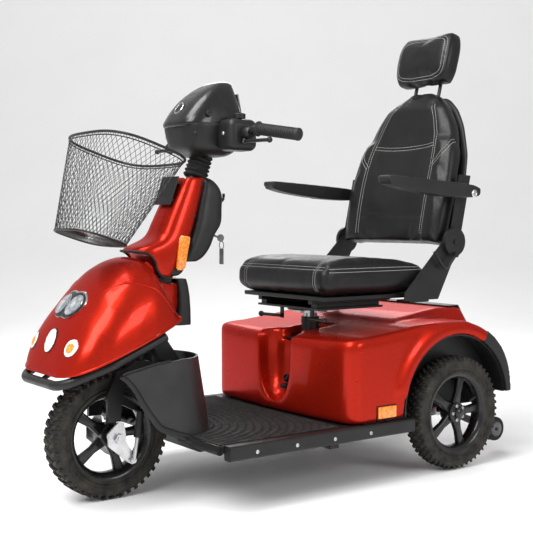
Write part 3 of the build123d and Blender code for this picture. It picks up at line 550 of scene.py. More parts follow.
def make_rim(name, body, x, y, width, side, bolts):
    """Five-spoke rim with a dished face on the outer side."""
    edge = WHEEL_R / MM
    half = width / 2 * 0.76
    r = RIM_R
    outer, inner = [(0, 1), (3, -2), (5, -7), (13, -12)], [(0, -3), (5, -11), (15, -17)]
    barrel = [(-half + a, r + b) for a, b in outer] + [(half - a, r + b) for a, b in outer[::-1] + inner]
    barrel += [(-half + a, r + b) for a, b in inner[::-1] + outer[:1]]
    pieces = [turned("barrel", barrel, (x, y, edge), ACROSS, GLOSS_BLACK)]
    hub = mirrored([(half * 0.9, 24), (half * 0.9 - 2, 30)])
    pieces.append(turned("hub", hub, (x, y, edge), ACROSS, GLOSS_BLACK))
    for i in range(5):
        outline = [(20, 17), (60, 11), (r - 14, 15), (r - 14, -15), (60, -11), (20, -17)]
        verts = []
        for depth, shrink in ((-7, 0), (5, 0), (9, 4)):
            for along, across in outline:
                wide = across - shrink * (1 if across > 0 else -1)
                verts.append(((side * (depth + 6 - 6 * (along - 20) / r)), along, wide))
        a = 2 * pi * i / 5 + 0.3
        world = [at(x, y, edge)
                 + Vector((p[0], p[1] * sin(a) + p[2] * cos(a), p[1] * cos(a) - p[2] * sin(a))) * MM
                 for p in verts]
        n = len(outline)
        spoke = new_object("spoke", world, end_faces(3, n) + grid_faces(3, n, False, True), GLOSS_BLACK)
        bevel(spoke, 2.0, 2, 25)
        pieces.append(spoke)
    face_x = side * half * 0.9
    if bolts:
        cap = [(0, 17), (side * 8, 16), (side * 13, 11), (side * 15, 0.2)]
        pieces.append(turned("cap", cap, (x + face_x, y, edge), ACROSS, GLOSS_BLACK, 48))
        for i in range(5):
            a = 2 * pi * i / 5 + 0.3 + pi / 5
            place = (x + face_x, y + 22 * sin(a), edge + 22 * cos(a))
            head = [(0, 5.5), (side * 4, 5.5), (side * 5, 4.4), (side * 5, 2.6), (side * 2, 2.6)]
            pieces.append(turned("bolt", head, place, ACROSS, STEEL, 6, 20))
    else:
        cap = [(0, 15), (side * 3, 15), (side * 6, 12), (side * 6.5, 9)]
        pieces.append(turned("cap", cap, (x + face_x, y, edge), ACROSS, STEEL, 48))
    valve = [(0, 3), (8, 3), (9, 4), (26, 4), (28, 2.4), (30, 2.2)]
    pieces.append(turned("valve", valve, (x + side * 8, y + (r - 18) * sin(1.2), edge + (r - 18) * cos(1.2)),
                         (0, -sin(1.2), -cos(1.2)), BLACK, 20))
    return ride(joined(name, pieces), body, "rim_black", name)


def make_wheels():
    make_tyre("front_tyre", "front_wheel", 0, 0, 77, 44, front_rows())
    make_rim("front_rim", "front_wheel", 0, 0, 77, 1, False)
    for side, name in SIDES:
        make_tyre(f"rear_tyre_{name}", f"rear_wheel_{name}", side * REAR_X, REAR_Y, 68, 52, rear_rows())
        make_rim(f"rear_rim_{name}", f"rear_wheel_{name}", side * REAR_X, REAR_Y, 68, side, True)
        x, y, z = middle(f"antitip_wheel_{name}")
        centre = (x / MM, (y - AXLE_Y) / MM, z / MM)
        profile = mirrored([(11, 8), (12, 12), (12, 33), (9, 38), (5, 39)])
        ring = turned("ring", profile, centre, ACROSS, MAT_RUBBER, 64)
        core = mirrored([(13, 7), (13, 20), (12, 24)])
        cap = turned("core", core, centre, ACROSS, GREY, 48)
        ride(joined(f"antitip_wheel_{name}_tyre", [ring, cap]), f"antitip_{name}", "mat_rubber",
             f"antitip_wheel_{name}")


# ---- Nose --------------------------------------------------------------------------------
NOSE_TIP = -186
NOSE_TAIL = 146
NOSE_HALF = [(-186, 92), (-180, 118), (-168, 142), (-150, 162), (-120, 177), (-67, 186), (0, 186), (60, 181),
             (110, 168), (146, 150)]
NOSE_LOW = [(-186, 353), (-120, 379), (0, 427), (146, 486)]
NOSE_TOP = [(-186, 358), (-180, 378), (-169, 410), (-150, 458), (-120, 505), (-60, 578), (-20, 618), (20, 640),
            (60, 650), (84, 642), (104, 606), (122, 560), (136, 518), (146, 492)]


def nose_values(y):
    half, low, top = (np.interp(y, *zip(*table)) for table in (NOSE_HALF, NOSE_LOW, NOSE_TOP))
    return half, low, top


def nose_point(y, turn, lift=0.0):
    """A point of the nose: turn runs from 0 at the left sill over the top to pi."""
    half = np.mean([nose_values(y + d)[0] for d in (-8, 0, 8)])
    low = nose_values(y)[1]
    top = np.mean([nose_values(y + d)[2] for d in (-10, -5, 0, 5, 10)])
    c, s = cos(turn), sin(turn)
    x = (half + lift) * bent(c, 0.82)
    z = low + (max(top - low, 4) + lift) * max(s, 0) ** 0.86
    return (x, y, z)


def nose_surface_y(x, z):
    """Where the front of the nose is, at a place seen from the front."""
    for y in np.linspace(NOSE_TIP, 0, 200):
        half, low, top = nose_values(y)
        if abs(x) < half and low + (top - low) * (1 - (abs(x) / half) ** 2.2) ** 0.52 >= z:
            return y
    return 0.0


def make_nose():
    steps, around = 64, 72
    verts = []
    for i in range(steps + 1):
        y = NOSE_TIP + (NOSE_TAIL - NOSE_TIP) * (0.5 - 0.5 * cos(pi * (i / steps)))
        verts += [at(*nose_point(y, pi * k / around)) for k in range(around + 1)]
    faces = grid_faces(steps + 1, around + 1) + [tuple(range(around + 1))]
    nose = new_object("nose_skin", verts, faces, RED, 60)
    modify(nose, "SMOOTH", factor=0.5, iterations=4)
    modify(nose, "SOLIDIFY", thickness=4 * MM, offset=-1)
    bake(nose)
    shade(nose, 50)
    ride(nose, "steering", "red_shell", "nose_fender")
    lip = [nose_point(y, 0.0) for y in np.linspace(NOSE_TAIL - 4, NOSE_TIP + 8, 40)]
    front = [(x, NOSE_TIP, 354) for x in np.linspace(90, -90, 12)]
    other = [(-x, y, z) for x, y, z in reversed(lip)]
    edge = tube("nose_lip", lip + front + other, 3.2, RED, sides=12)
    ride(edge, "steering", "red_shell")
    for side, name in SIDES:
        arc = []
        for t in np.linspace(0.0, 1.0, 30):
            x, y, z = nose_point(118 - 178 * t ** 1.2, 0.25 + 0.85 * t, -0.6)
            arc.append((side * x, y, z))
        radius = 0.6 + 3.2 * np.sin(np.linspace(0.15, pi, 30)) ** 0.7
        ride(tube(f"nose_crease_{name}", arc, radius, RED, sides=12), "steering", "red_shell")


def surface_patch(name, cx, cz, wide, high, lift, thick, material, dome=0.0, pinch=0.0, rings=10, sides=64):
    """An oval pad that lies on the front of the nose, pinched like a bean in its middle."""
    verts = []
    for layer in range(2):
        for r in range(rings + 1):
            f = r / rings
            for k in range(sides):
                a = 2 * pi * k / sides
                waist = 1 - pinch * np.exp(-(wide * cos(a) / 15) ** 2)
                x = cx + wide * f * cos(a)
                z = cz + high * f * sin(a) * waist
                y = nose_surface_y(x, z) - lift - (thick + dome * (1 - f ** 2) if layer == 0 else -4)
                verts.append(at(x, y, z))
    ring = (rings + 1) * sides
    faces = grid_faces(rings + 1, sides, False, True) + grid_faces(rings + 1, sides, False, True, ring)
    for k in range(sides):
        a, b = rings * sides + k, rings * sides + (k + 1) % sides
        faces.append((a, b, ring + b, ring + a))
    return new_object(name, verts, faces, material, 40)


def make_nose_lamps():
    surround = [surface_patch("rim", 0, 527, 70, 37, 1, 4, CHROME, pinch=0.14),
                surface_patch("face", 0, 527, 67, 34, 4, 3, GLOSS_BLACK, pinch=0.16)]
    ride(joined("headlight_surround", surround), "steering", "grey_trim", "headlight_housing")
    lenses = []
    for side in (-1, 1):
        lenses.append(surface_patch("ring", side * 31, 527, 27, 25, 7, 0.8, CHROME))
        lenses.append(surface_patch("bowl", side * 31, 527, 25, 23, 7, 1.4, HEADLIGHT))
        lenses.append(surface_patch("bulb", side * 31, 527, 7, 7, 8, 2.5, WHITE_LENS, 2))
        lenses.append(surface_patch("glass", side * 31, 527, 25, 23, 11, 1, LENS, 3))
    ride(joined("headlights", lenses), "steering", "lens", "headlight_lenses")
    lamps = [surface_patch("oval_rim", 0, 436, 27, 31, 0.5, 1.5, BLACK),
             surface_patch("oval", 0, 436, 25, 29, 1, 2.5, WHITE_LENS, 2)]
    for side in (-1, 1):
        x = side * 112
        lamps.append(surface_patch("outer", x, 426, 25, 24, 1, 1.5, BLACK))
        lamps.append(surface_patch("white", x, 426, 22, 21, 2, 2.5, WHITE_LENS, 1))
        lamps.append(surface_patch("amber", x, 426, 13, 12, 4, 2.5, AMBER, 2))
    ride(joined("nose_lamps_detail", lamps), "steering", "white_lens", "nose_lamps")


# ---- Neck, tiller and their covers -------------------------------------------------------
KNUCKLE = (178, 630)


def make_neck():
    outline = [(66, 470), (66, 620), (90, 638), (108, 622), (113, 598), (128, 582), (156, 573), (190, 576),
               (197, 550), (200, 512), (182, 492), (150, 462), (140, 455)]
    neck = prism("neck", outline, 78, RED)
    rows = [(450, 62, -40, 196), (500, 68, -40, 204), (560, 72, -40, 204), (610, 72, -40, 200),
            (660, 68, -40, 190)]
    cut(neck, stacked("rounding", rows, 0.55, RED), operation="INTERSECT")
    moulded(neck, 4, 6)
    cut(neck, prism("room", [(60, 440), (60, 640), (120, 600), (150, 560), (190, 500), (140, 440)], 50, RED),
        prism("knuckle_room", [(120, 560), (126, 720), (240, 720), (232, 585), (170, 560)], 45, RED))
    shade(neck, 180)
    calm_normals(neck, 6)
    ride(neck, "steering", "red_shell", "neck_cover")
    rows = [(456, 50, 188, 245), (500, 52, 196, 242), (536, 52, 196, 239), (566, 51, 194, 234),
            (586, 50, 190, 228)]
    back = moulded(stacked("neck_back_strip", rows, 0.45, BLACK), 3, 4)
    ride(back, "steering", "black_shell")


COVER_ROWS = [(590, 62, 66, 190), (612, 66, 62, 200), (640, 68, 61, 214), (660, 68, 64, 224),
              (672, 68, 74, 230), (682, 67, 98, 235), (694, 66, 126, 240), (710, 65, 145, 246),
              (740, 63, 160, 256), (780, 60, 180, 269), (830, 55, 206, 284), (866, 52, 224, 293)]
COVER_POWER = 0.62
HEM = [(20, 664), (66, 664), (84, 661), (102, 652), (114, 636), (120, 616), (132, 600), (150, 592), (174, 590)]


def stacked(name, rows, power, material, around=96):
    """A closed form through level sections: (z, half-width, front y, back y)."""
    verts = []
    for z, half, front, back in rows:
        for k in range(around):
            a = 2 * pi * k / around
            y = (front + back) / 2 + (back - front) / 2 * bent(sin(a), power)
            verts.append(at(half * bent(cos(a), power), y, z))
    faces = grid_faces(len(rows), around, False, True) + end_faces(len(rows), around)
    return new_object(name, verts, faces, material)


def stacked_half(rows, power, y, z):
    """The half-width of a stacked form at a place on its side."""
    half, front, back = (np.interp(z, [row[0] for row in rows], [row[k] for row in rows]) for k in (1, 2, 3))
    across = min(abs(2 * y - front - back) / (back - front), 0.98)
    return half * (1 - across ** (2 / power)) ** (power / 2)


def make_tiller_covers():
    cover = stacked("tiller_front_cover", smooth_line(COVER_ROWS, 60), COVER_POWER, RED)
    cut(cover, prism("below_hem", [(20, 540), *HEM, (174, 540)], 110, RED))
    moulded(cover, 3.5, 6)
    room = [(232, 880), (205, 800), (170, 715), (140, 660), (136, 560), (230, 560), (262, 700), (300, 880)]
    cut(cover, prism("inside", room, 42, RED))
    shade(cover, 180)
    calm_normals(cover, 6)
    ride(cover, "tiller", "red_shell", "tiller_cover")
    back_rows = [(632, 54, 205, 262), (645, 58, 212, 284), (672, 60, 226, 306), (706, 60, 240, 322),
                 (738, 60, 250, 344), (780, 57, 262, 348), (815, 54, 272, 350), (840, 51, 280, 340),
                 (858, 46, 284, 322), (867, 36, 288, 306)]
    back = stacked("tiller_back", smooth_line(back_rows, 40), 0.5, BLACK)
    moulded(back, 3, 5)
    ring = turned("lock_ring", [(0, 15), (5, 14.5), (7, 12), (7, 9), (3, 8.5)], (0, 334, 708),
                  (0, cos(RAKE), -sin(RAKE)), CHROME, 40)
    hook = tube("hook", [(0, 346, 806), (0, 366, 800), (0, 378, 808), (0, 380, 824)], 4, BLACK, count=16)
    ride(joined("tiller_rear_detail", [back, ring, hook]), "tiller", "black_shell", "tiller_rear_cover")
    for side, name in SIDES:
        line = []
        for y, z in HEM[2:-1]:
            line.append((side * (stacked_half(COVER_ROWS, COVER_POWER, y, z) - 1), y, z - 1))
        line = [(side * 2, 61, 662), (side * 30, 62, 663)] + line + [(side * 60, 166, 589)]
        ride(tube(f"knuckle_seal_{name}", line, 3.6, BLACK, count=60, sides=12), "tiller", "black_shell")
        disc = [(side * 44, 36), (side * 58, 36), (side * 61, 32), (side * 61, 12), (side * 60, 0.2)]
        ride(turned(f"knuckle_disc_{name}", disc, (0, *KNUCKLE), ACROSS, BLACK, 64), "tiller", "black_shell")
        plate = [(180, 616), (190, 698), (196, 706), (222, 702), (224, 696), (208, 618), (200, 610), (184, 610)]
        reflect = prism(f"tiller_reflector_{name}", plate, 3.5, AMBER, x=side * 66)
        bevel(reflect, 1.5)
        ride(reflect, "tiller", "amber", *(["tiller_reflectors"] if side > 0 else []))
    screws = []
    for side in (-1, 1):
        for y, z in ((246, 760), (272, 850)):
            x = side * (stacked_half(COVER_ROWS, COVER_POWER, y, z) - 0.5)
            head = [(0, 4.5), (side * 1.5, 4.2), (side * 2, 2.5), (side * 0.8, 2.2)]
            screws.append(turned("screw", head, (x, y, z), ACROSS, BLACK, 20, 25))
    ride(joined("tiller_screws", screws), "tiller", "black_shell")


def column_axis(z):
    return 212 + (z - 675) * sin(RAKE) / cos(RAKE)


def make_boot():
    profile = []
    folds = 7
    for i in range(folds * 2 + 1):
        wide = 35.5 if i % 2 else 30.5
        profile.append((i * 84 / (folds * 2), wide - 2.5 * i / (folds * 2)))
    profile = [tuple(p) for p in smooth_line(profile, 99)]
    z = 866
    boot = turned("boot_bellows", profile, (0, column_axis(z), z), (0, sin(RAKE), cos(RAKE)), MAT_RUBBER, 64)
    ride(boot, "tiller", "mat_rubber", "steering_boot")


# ---- Console -----------------------------------------------------------------------------
def make_console():
    base = [(925, 46, 270, 345), (930, 62, 256, 368), (945, 80, 230, 388), (975, 90, 220, 398),
            (1005, 94, 214, 404), (1016, 93, 216, 404)]
    lower = stacked("console_base", smooth_line(base, 24), 0.55, BLACK)
    hood = [(1006, 90, 209, 405), (1012, 92, 206, 409), (1022, 92, 208, 410), (1050, 88, 226, 407),
            (1080, 80, 252, 399), (1104, 71, 280, 391), (1121, 62, 305, 386), (1133, 52, 326, 382),
            (1139, 34, 344, 372)]
    upper = moulded(stacked("console_hood", smooth_line(hood, 40), 0.6, GLOSS_BLACK), 3.5, 3)
    screen = prism("display", [(401, 1040), (388, 1104), (392, 1106), (406, 1042)], 58, GREY)
    bevel(screen, 1.0)
    lamps = []
    for i in range(5):
        x = -32 + 16 * i
        lamps.append(slab("bar", (x - 5, x + 5), (396, 402), (1078, 1083), AMBER if i < 4 else RED_LENS, 0.6))
    pods = []
    for side in (-1, 1):
        pod = slab("pod", sorted((side * 80, side * 158)), (300, 392), (938, 1026), BLACK, 20, 8)
        pocket_r = 18.5 if side > 0 else 11.5
        cut(pod, turned("pocket", [(-18, pocket_r), (12, pocket_r)], (side * 130, 346, 1027),
                        (0, 0, 1), BLACK, 48))
        collar = [(0, 17), (14, 18), (26, 16.5), (30, 13)]
        bolt = [(0, 6), (3, 6), (4.5, 4.5), (4.5, 2.6), (2, 2.6)]
        plug, low_plug = [(0, 9), (2, 9), (3, 7.5), (3, 3), (2, 2.4)], [(0, 7), (3, 7), (4, 5), (4, 0.2)]
        pods += [pod, turned("collar", collar, (side * 156, 348, 985), (side, 0, 0), BLACK, 40),
                 turned("clamp_bolt", bolt, (side * 120, 300, 985), (0, -1, 0), STEEL, 6, 20),
                 turned("plug", plug, (side * 93, 272, 1040), (side, -0.25, 0.3), BLACK, 32),
                 turned("base_plug", low_plug, (side * 74, 236, 985), (side * 0.6, -0.8, 0), BLACK, 32)]
    emblem = turned("emblem", [(0, 19), (3, 19), (4, 18), (4, 16), (2, 15.5), (2, 19), (0, 19)], (0, 233, 1058),
                    (0, -0.85, 0.53), CHROME, 64)
    console = joined("console_detail", [lower, upper, screen, emblem, *lamps, *pods])
    ride(console, "tiller", "black_shell", "console_head")


def make_grips():
    for side, name in SIDES[::-1]:
        start = Vector((side * 206, 353, 994))
        end = Vector((side * 334, 399, 972))
        direction = (end - start).normalized()
        length = (end - start).length
        profile = [(0, 12), (0, 20), (4, 21), (7, 19), (9, 16.5)]
        groove = 12
        while groove < length - 14:
            profile += [(groove, 16.8), (groove + 1.0, 15.3), (groove + 3.2, 15.3), (groove + 4.2, 16.8)]
            groove += 7.2
        profile += [(length - 7, 17.4), (length - 3, 17), (length, 14), (length + 1, 0.2)]
        grip = turned(f"grip_rubber_{name}", profile, start, direction, GRIP_RUBBER, 48, 30)
        ride(grip, "tiller", "mat_rubber", *(["grips"] if side > 0 else []))


# ---- Basket ------------------------------------------------------------------------------
BASKET_TILT = radians(18)


def basket_ring(level, swell=0.0, angle=0.0):
    """A point of the basket's wall at a level from 0 (floor) to 1 (rim)."""
    y0, z0 = -46 + 110 * level, 700 + 238 * level
    half_x = 115 + 65 * level + swell
    half_y = 75 + 50 * level + swell
    power = 0.62
    d = half_y * bent(sin(angle), power)
    return (half_x * bent(cos(angle), power), y0 + d * cos(BASKET_TILT), z0 - d * sin(BASKET_TILT))


def even_angles(level, count):
    """Angles that space points evenly round the ring."""
    dense = np.linspace(0, 2 * pi, 721)
    points = np.array([basket_ring(level, 0, a) for a in dense])
    run = distance_along(points)
    return np.interp(np.linspace(0, run[-1], count + 1)[:-1], run, dense)


def mesh_edges(row, around):
    """Crossing wires from one ring of knots to the next, which is half a mesh further on."""
    edges = []
    for i in range(around):
        for step in (row % 2, row % 2 - 1):
            edges.append((row * around + i, (row + 1) * around + (i + step) % around))
    return edges


def make_basket():
    around, high = 66, 22
    verts, edges = [], []
    angles = even_angles(1.0, around * 2)
    for j in range(high + 1):
        for i in range(around):
            k = (2 * i + (j % 2)) % (around * 2)
            bulge = 0.7 if (i + j) % 2 else -0.7
            verts.append(at(*basket_ring(j / high, bulge, angles[k])))
    for j in range(high):
        edges += mesh_edges(j, around)
    pieces = [wires("mesh_wall", verts, edges, 0.66)]
    floor_v, floor_e = [], []
    rings = 7
    for j in range(rings):
        for i in range(around):
            k = (2 * i + (j % 2)) % (around * 2)
            x, y, z = basket_ring(0, 0, angles[k])
            f = 1 - j / rings
            floor_v.append(at(x * f, -46 + (y + 46) * f, 700 + (z - 700) * f))
    for j in range(rings - 1):
        floor_e += mesh_edges(j, around)
    pieces.append(wires("mesh_floor", floor_v, floor_e, 0.7))
    for level, radius in ((1.0, 3.6), (0.965, 1.6), (0.0, 2.8)):
        ring = [basket_ring(level, 0.6, a) for a in even_angles(level, 96)]
        pieces.append(tube("hoop", ring, radius, POWDER, closed=True, sides=12))
    basket = joined("wire_basket", pieces)
    ride(basket, "tiller", "wire", "basket")


def wires(name, verts, edges, radius, sides=5):
    """Straight round wires along edges, all in one mesh."""
    v = np.array([tuple(p) for p in verts])
    a, b = v[[e[0] for e in edges]], v[[e[1] for e in edges]]
    d = b - a
    d /= np.linalg.norm(d, axis=1)[:, None]
    up = np.tile([0.31, 0.17, 0.93], (len(d), 1))
    s = np.cross(d, up)
    s /= np.linalg.norm(s, axis=1)[:, None]
    t = np.cross(s, d)
    points, faces = [], []
    for k in range(sides):
        w = 2 * pi * k / sides
        offset = (s * cos(w) + t * sin(w)) * radius * MM
        points += [a + offset, b + offset]
    points = np.stack(points, axis=1)
    for i in range(len(edges)):
        base = i * 2 * sides
        for k in range(sides):
            j = (k + 1) % sides
            faces.append((base + 2 * k, base + 2 * k + 1, base + 2 * j + 1, base + 2 * j))
        faces.append(tuple(base + 2 * k for k in range(sides)))
        faces.append(tuple(base + 2 * k + 1 for k in range(sides)))
    return new_object(name, points.reshape(-1, 3), faces, POWDER, 60)


# ---- Rear body ---------------------------------------------------------------------------
ARCH_Z = 192
BODY_HALF = 337


def arch_arc(radius, start, end, count=40):
    """An arc round the centre of the rear wheel arches, between two angles in degrees."""
    return [(REAR_Y + radius * cos(a), ARCH_Z + radius * sin(a))
            for a in np.linspace(radians(start), radians(end), count)]


def make_body():
    side = [(578, 176), (578, 404), (590, 412), (694, 420), (794, 431), (870, 442), (960, 446), (1040, 444),
            (1090, 424), (1130, 390), (1160, 345), (1178, 290), (1184, 240), (1184, 176)]
    body = prism("body", side, BODY_HALF, RED)
    plan_points = []
    for x in np.linspace(-BODY_HALF, BODY_HALF, 41):
        corner = max(abs(x) - 290, 0) / 47
        plan_points.append((x, 558 + 20 * (x / BODY_HALF) ** 2 + 26 * (1 - sqrt(max(1 - corner ** 2, 0)))))
    plan_points += [(BODY_HALF, 1150), (300, 1200), (-300, 1200), (-BODY_HALF, 1150)]
    verts = [at(x, y, z) for z in (150, 600) for x, y in plan_points]
    n = len(plan_points)
    faces = end_faces(2, n) + grid_faces(2, n, False, True)
    front = prism("front_swell", [(556, 176), (556, 402), (640, 418), (640, 176)], BODY_HALF, RED)
    cut(body, front, operation="UNION")
    cut(body, new_object("plan", verts, faces, RED), operation="INTERSECT")
    ridge = [(760, 330), (790, 424), (870, 446), (960, 462), (1060, 473), (1150, 472), (1188, 420), (1190, 300)]
    hump = prism("hump", ridge, 205, RED, taper=lambda y, z: 1.12 if z < 400 else 1.0)
    cut(body, hump, operation="UNION")
    for s in (-1, 1):
        outer = arch_arc(252, 168, 50)
        inner = arch_arc(200, 50, 168)
        cut(body, prism("flare", outer + inner, 28, RED, x=s * 320), operation="UNION")
    moulded(body, 6, 14)
    rows = []
    for t in np.linspace(0, pi / 2, 24):
        wide = sin(t) ** 0.8
        rows.append((206 + 150 * (1 - cos(t)), 4 + 76 * wide, 568 - 66 * wide, 568 + 66 * wide))
    rows.append((540, 84, 500, 636))
    recess = stacked("recess", rows, 0.9, RED)
    arches = []
    for s in (-1, 1):
        outline = arch_arc(214, 188, -8) + [(REAR_Y + 212, 100), (REAR_Y - 212, 100)]
        arches.append(prism("arch", outline, 66, RED, x=s * 336))
    opening = prism("opening", [(610, 380), (610, 520), (752, 520), (752, 380)], 48, RED)
    cut(body, recess, *arches, opening)
    moulded(body, 4, 16)
    room = [(664, 150), (664, 395), (790, 405), (1130, 380), (1160, 320), (1160, 150)]
    rooms = [prism("room", room, 250, RED)]
    side_room = [(606, 150), (606, 385), (700, 395), (760, 395), (760, 150)]
    rooms += [prism("side_room", side_room, 88, RED, x=s * 196) for s in (-1, 1)]
    cut(body, *rooms)
    shade(body, 180)
    calm_normals(body)
    ride(body, "chassis", "red_shell", "body_shell")


def make_body_trim():
    pieces = []
    for s in (-1, 1):
        outline = [(REAR_Y + r * cos(radians(a)), ARCH_Z + r * sin(radians(a)))
                   for a, r in smooth_line([(60, 250), (48, 250), (34, 247), (20, 240), (6, 232)], 24)]
        inner = arch_arc(213, 6, 60, 24)
        guard = prism("guard", outline + inner, 29, BLACK, x=s * 319)
        moulded(guard, 3, 3)
        pieces.append(guard)
        band = arch_arc(213.4, 183, 6) + arch_arc(209, 6, 183)
        pieces.append(prism("liner", band, 34, BLACK, x=s * 303))
        wall = arch_arc(211, 183, -3) + [(REAR_Y, 181)]
        pieces.append(prism("liner_wall", wall, 1.5, BLACK, x=s * 271.5))
    guards = joined("mudguard_pair", pieces)
    shade(guards, 40)
    ride(guards, "chassis", "black_shell", "mudguards")
    y, top = REAR_Y + 195, 472
    tail = [(y, 182), (y, top - 58), (y - 38, top + 1), (y - 86, top + 2), (y - 88, top + 5),
            (y - 36, top + 6), (y + 6, top - 57), (y + 7, 182)]
    panel = moulded(prism("tail", tail, 192, BLACK), 3, 3)
    ride(panel, "chassis", "black_shell", "rear_panel")
    lights = []
    for s in (-1, 1):
        x = s * 150
        lights.append(slab("lens", (x - 31, x + 31), (y + 8, y + 13), (331, 371), RED_LENS, 2.5))
        lights.append(slab("frame", (x - 35, x + 35), (y + 5, y + 10), (327, 375), BLACK, 2.5))
    ride(joined("tail_light_pair", lights), "chassis", "red_lens", "tail_lights")
    for s, name in SIDES:
        lens = slab(f"side_reflector_{name}", sorted((s * 338, s * 343)), (675, 743), (187, 220), AMBER, 1.5)
        ride(lens, "chassis", "amber", *(["side_reflectors"] if s > 0 else []))
        back = slab(f"side_reflector_base_{name}", sorted((s * 334, s * 340)), (672, 746), (184, 223),
                    BLACK, 1.5)
        ride(back, "chassis", "black_shell")
    latch = [slab("latch", (-13, 13), (592, 614), (238, 252), BLACK, 3),
             turned("socket", [(-12, 12), (0, 12), (3, 10), (3, 7), (-2, 6)], (0, 606, 270),
                    (0, -1, 0.5), BLACK, 32)]
    tray = slab("tray", (-60, 60), (640, 760), (384, 389), BLACK, 1.5)
    ride(joined("recess_latch", [*latch, tray]), "chassis", "black_shell")
    screws = []
    for s in (-1, 1):
        for y in (250, 380, 510, 640):
            head = [(0, 5.5), (s * 1.6, 5.2), (s * 2.4, 3.8), (s * 2.4, 2.2), (s * 0.6, 2.0)]
            screws.append(turned("screw", head, (s * 348.5, y, 153), ACROSS, STEEL, 24, 25))
    ride(joined("rail_screws", screws), "chassis", "steel")


# ---- Floor and shield --------------------------------------------------------------------
def make_floor_mat():
    half, front, back = 312, 158, 553
    nx, ny = 250, 158
    verts = []
    for j in range(ny + 1):
        for i in range(nx + 1):
            x = -half + 2 * half * i / nx
            y = front + (back - front) * j / ny
            away = sqrt(x ** 2 + (y - 150) ** 2)
            wave = 0.5 + 0.5 * cos(2 * pi * (away + 9 * sin(x / 60)) / 21)
            border = min(half - abs(x), y - front, back - y) / 14
            rib = np.clip((wave - 0.35) * 2.2, 0, 1) * np.clip(border, 0, 1)
            verts.append(at(x, y, 176.0 + 4.2 * rib))
    mat = new_object("ribbed_mat", verts, grid_faces(ny + 1, nx + 1), MAT_RUBBER, 60)
    modify(mat, "SOLIDIFY", thickness=2.2 * MM, offset=-1)
    bake(mat)
    shade(mat, 50)
    ride(mat, "chassis", "mat_rubber", "floor_mat")


def make_shield_trim():
    def shield_x(z):
        return 176 - 26 * max((z - 175) / 225, 0)
    edge = [(153, 172), (128, 180), (98, 192), (68, 207), (48, 232), (34, 253), (16, 283), (1, 310), (-18, 334),
            (-34, 352)]
    for side, name in SIDES:
        line = [(side * (shield_x(z) - 2), y, z) for y, z in edge]
        line += [(side * (shield_x(365) - 2), 20, 364), (side * (shield_x(372) - 2), 60, 371),
                 (side * (shield_x(378) - 2), 110, 376)]
        foot = [(side * 318, 156, 160), (side * 262, 152, 161), (side * 214, 150, 163), (side * 186, 151, 167)]
        points = smooth_line(foot + line, 90)
        radius = np.concatenate([np.linspace(11, 10, 24), np.linspace(10, 6.5, 50), np.linspace(6.5, 4, 16)])
        ride(tube(f"shield_border_{name}", points, radius, BLACK, sides=16), "chassis", "black_shell")


# ---- Soft goods --------------------------------------------------------------------------
def pillow(obj, voxel, cap, pressure=4.0):
    """Swell a closed form as stuffed leather, no point moving more than cap."""
    modify(obj, "REMESH", mode="VOXEL", voxel_size=voxel * MM)
    modify(obj, "SMOOTH", factor=0.5, iterations=6)
    bake(obj)
    start = points_of(obj.data)
    cloth = modify(obj, "CLOTH").settings
    cloth.use_pressure = True
    cloth.uniform_pressure_force = pressure
    cloth.effector_weights.gravity = 0
    cloth.quality = 4
    cloth.tension_stiffness = 18
    cloth.compression_stiffness = 18
    for step in range(1, 21):
        bpy.context.scene.frame_set(step)
    bake(obj)
    bpy.context.scene.frame_set(1)
    move = points_of(obj.data) - start
    length = np.linalg.norm(move, axis=1)
    scale = np.minimum(1.0, cap * MM / np.maximum(length, 1e-9))
    final = start + move * scale[:, None]
    obj.data.vertices.foreach_set("co", final.reshape(-1))
    modify(obj, "SMOOTH", factor=0.5, iterations=3)
    bake(obj)
    shade(obj, 80)


def on_surface(tree, points, direction):
    """Points of a line thrown on a surface along a direction (mm in, metres out)."""
    out = []
    aim = Vector(direction).normalized()
    for p in points:
        hit = tree.ray_cast(at(*p) - aim * 0.3, aim)
        if hit[0] is not None:
            out.append((hit[0], hit[1]))
    return out


def groove(obj, lines, depth, width):
    """Press seams into a surface along lines of points."""
    seam = np.array([tuple(p) for line in lines for p, _ in line])
    mesh = obj.data
    co = points_of(mesh)
    normals = np.array([tuple(v.normal) for v in mesh.vertices])
    near = np.full(len(co), 1e9)
    for chunk in np.array_split(seam, max(len(seam) // 60, 1)):
        d = np.linalg.norm(co[:, None, :] - chunk[None, :, :], axis=2).min(axis=1)
        near = np.minimum(near, d)
    co -= normals * (depth * MM * np.exp(-(near / (width * MM)) ** 2))[:, None]
    mesh.vertices.foreach_set("co", co.reshape(-1))
    mesh.update()


def stitches(name, lines, body, spacing=6.5, length=4.2, lift=0.4, radius=0.75):
    """Small threads along lines that lie on a surface."""
    verts, edges = [], []
    for line in lines:
        points = np.array([tuple(p + n * lift * MM) for p, n in line])
        if len(points) < 2:
            continue
        run = distance_along(points) / MM
        place = 1.0
        while place + length < run[-1]:
            pair = [[np.interp(p, run, points[:, k]) for k in range(3)] for p in (place, place + length)]
            edges.append((len(verts), len(verts) + 1))
            verts += [Vector(p) for p in pair]
            place += spacing
    obj = wires(name, verts, edges, radius, 6)
    obj.data.materials.clear()
    obj.data.materials.append(STITCH)
    return ride(obj, body, "leather")


def tree_of(obj):
    return BVHTree.FromObject(obj, bpy.context.evaluated_depsgraph_get())


def beside(line, tree, shift):
    """The same line moved sideways over the surface."""
    moved = []
    n = len(line)
    for i, (p, normal) in enumerate(line):
        ahead = line[min(i + 1, n - 1)][0] - line[max(i - 1, 0)][0]
        if ahead.length < 1e-6:
            continue
        across = ahead.normalized().cross(normal).normalized() * shift * MM
        place, found, _, _ = tree.find_nearest(p + across)
        moved.append((place, found))
    return moved


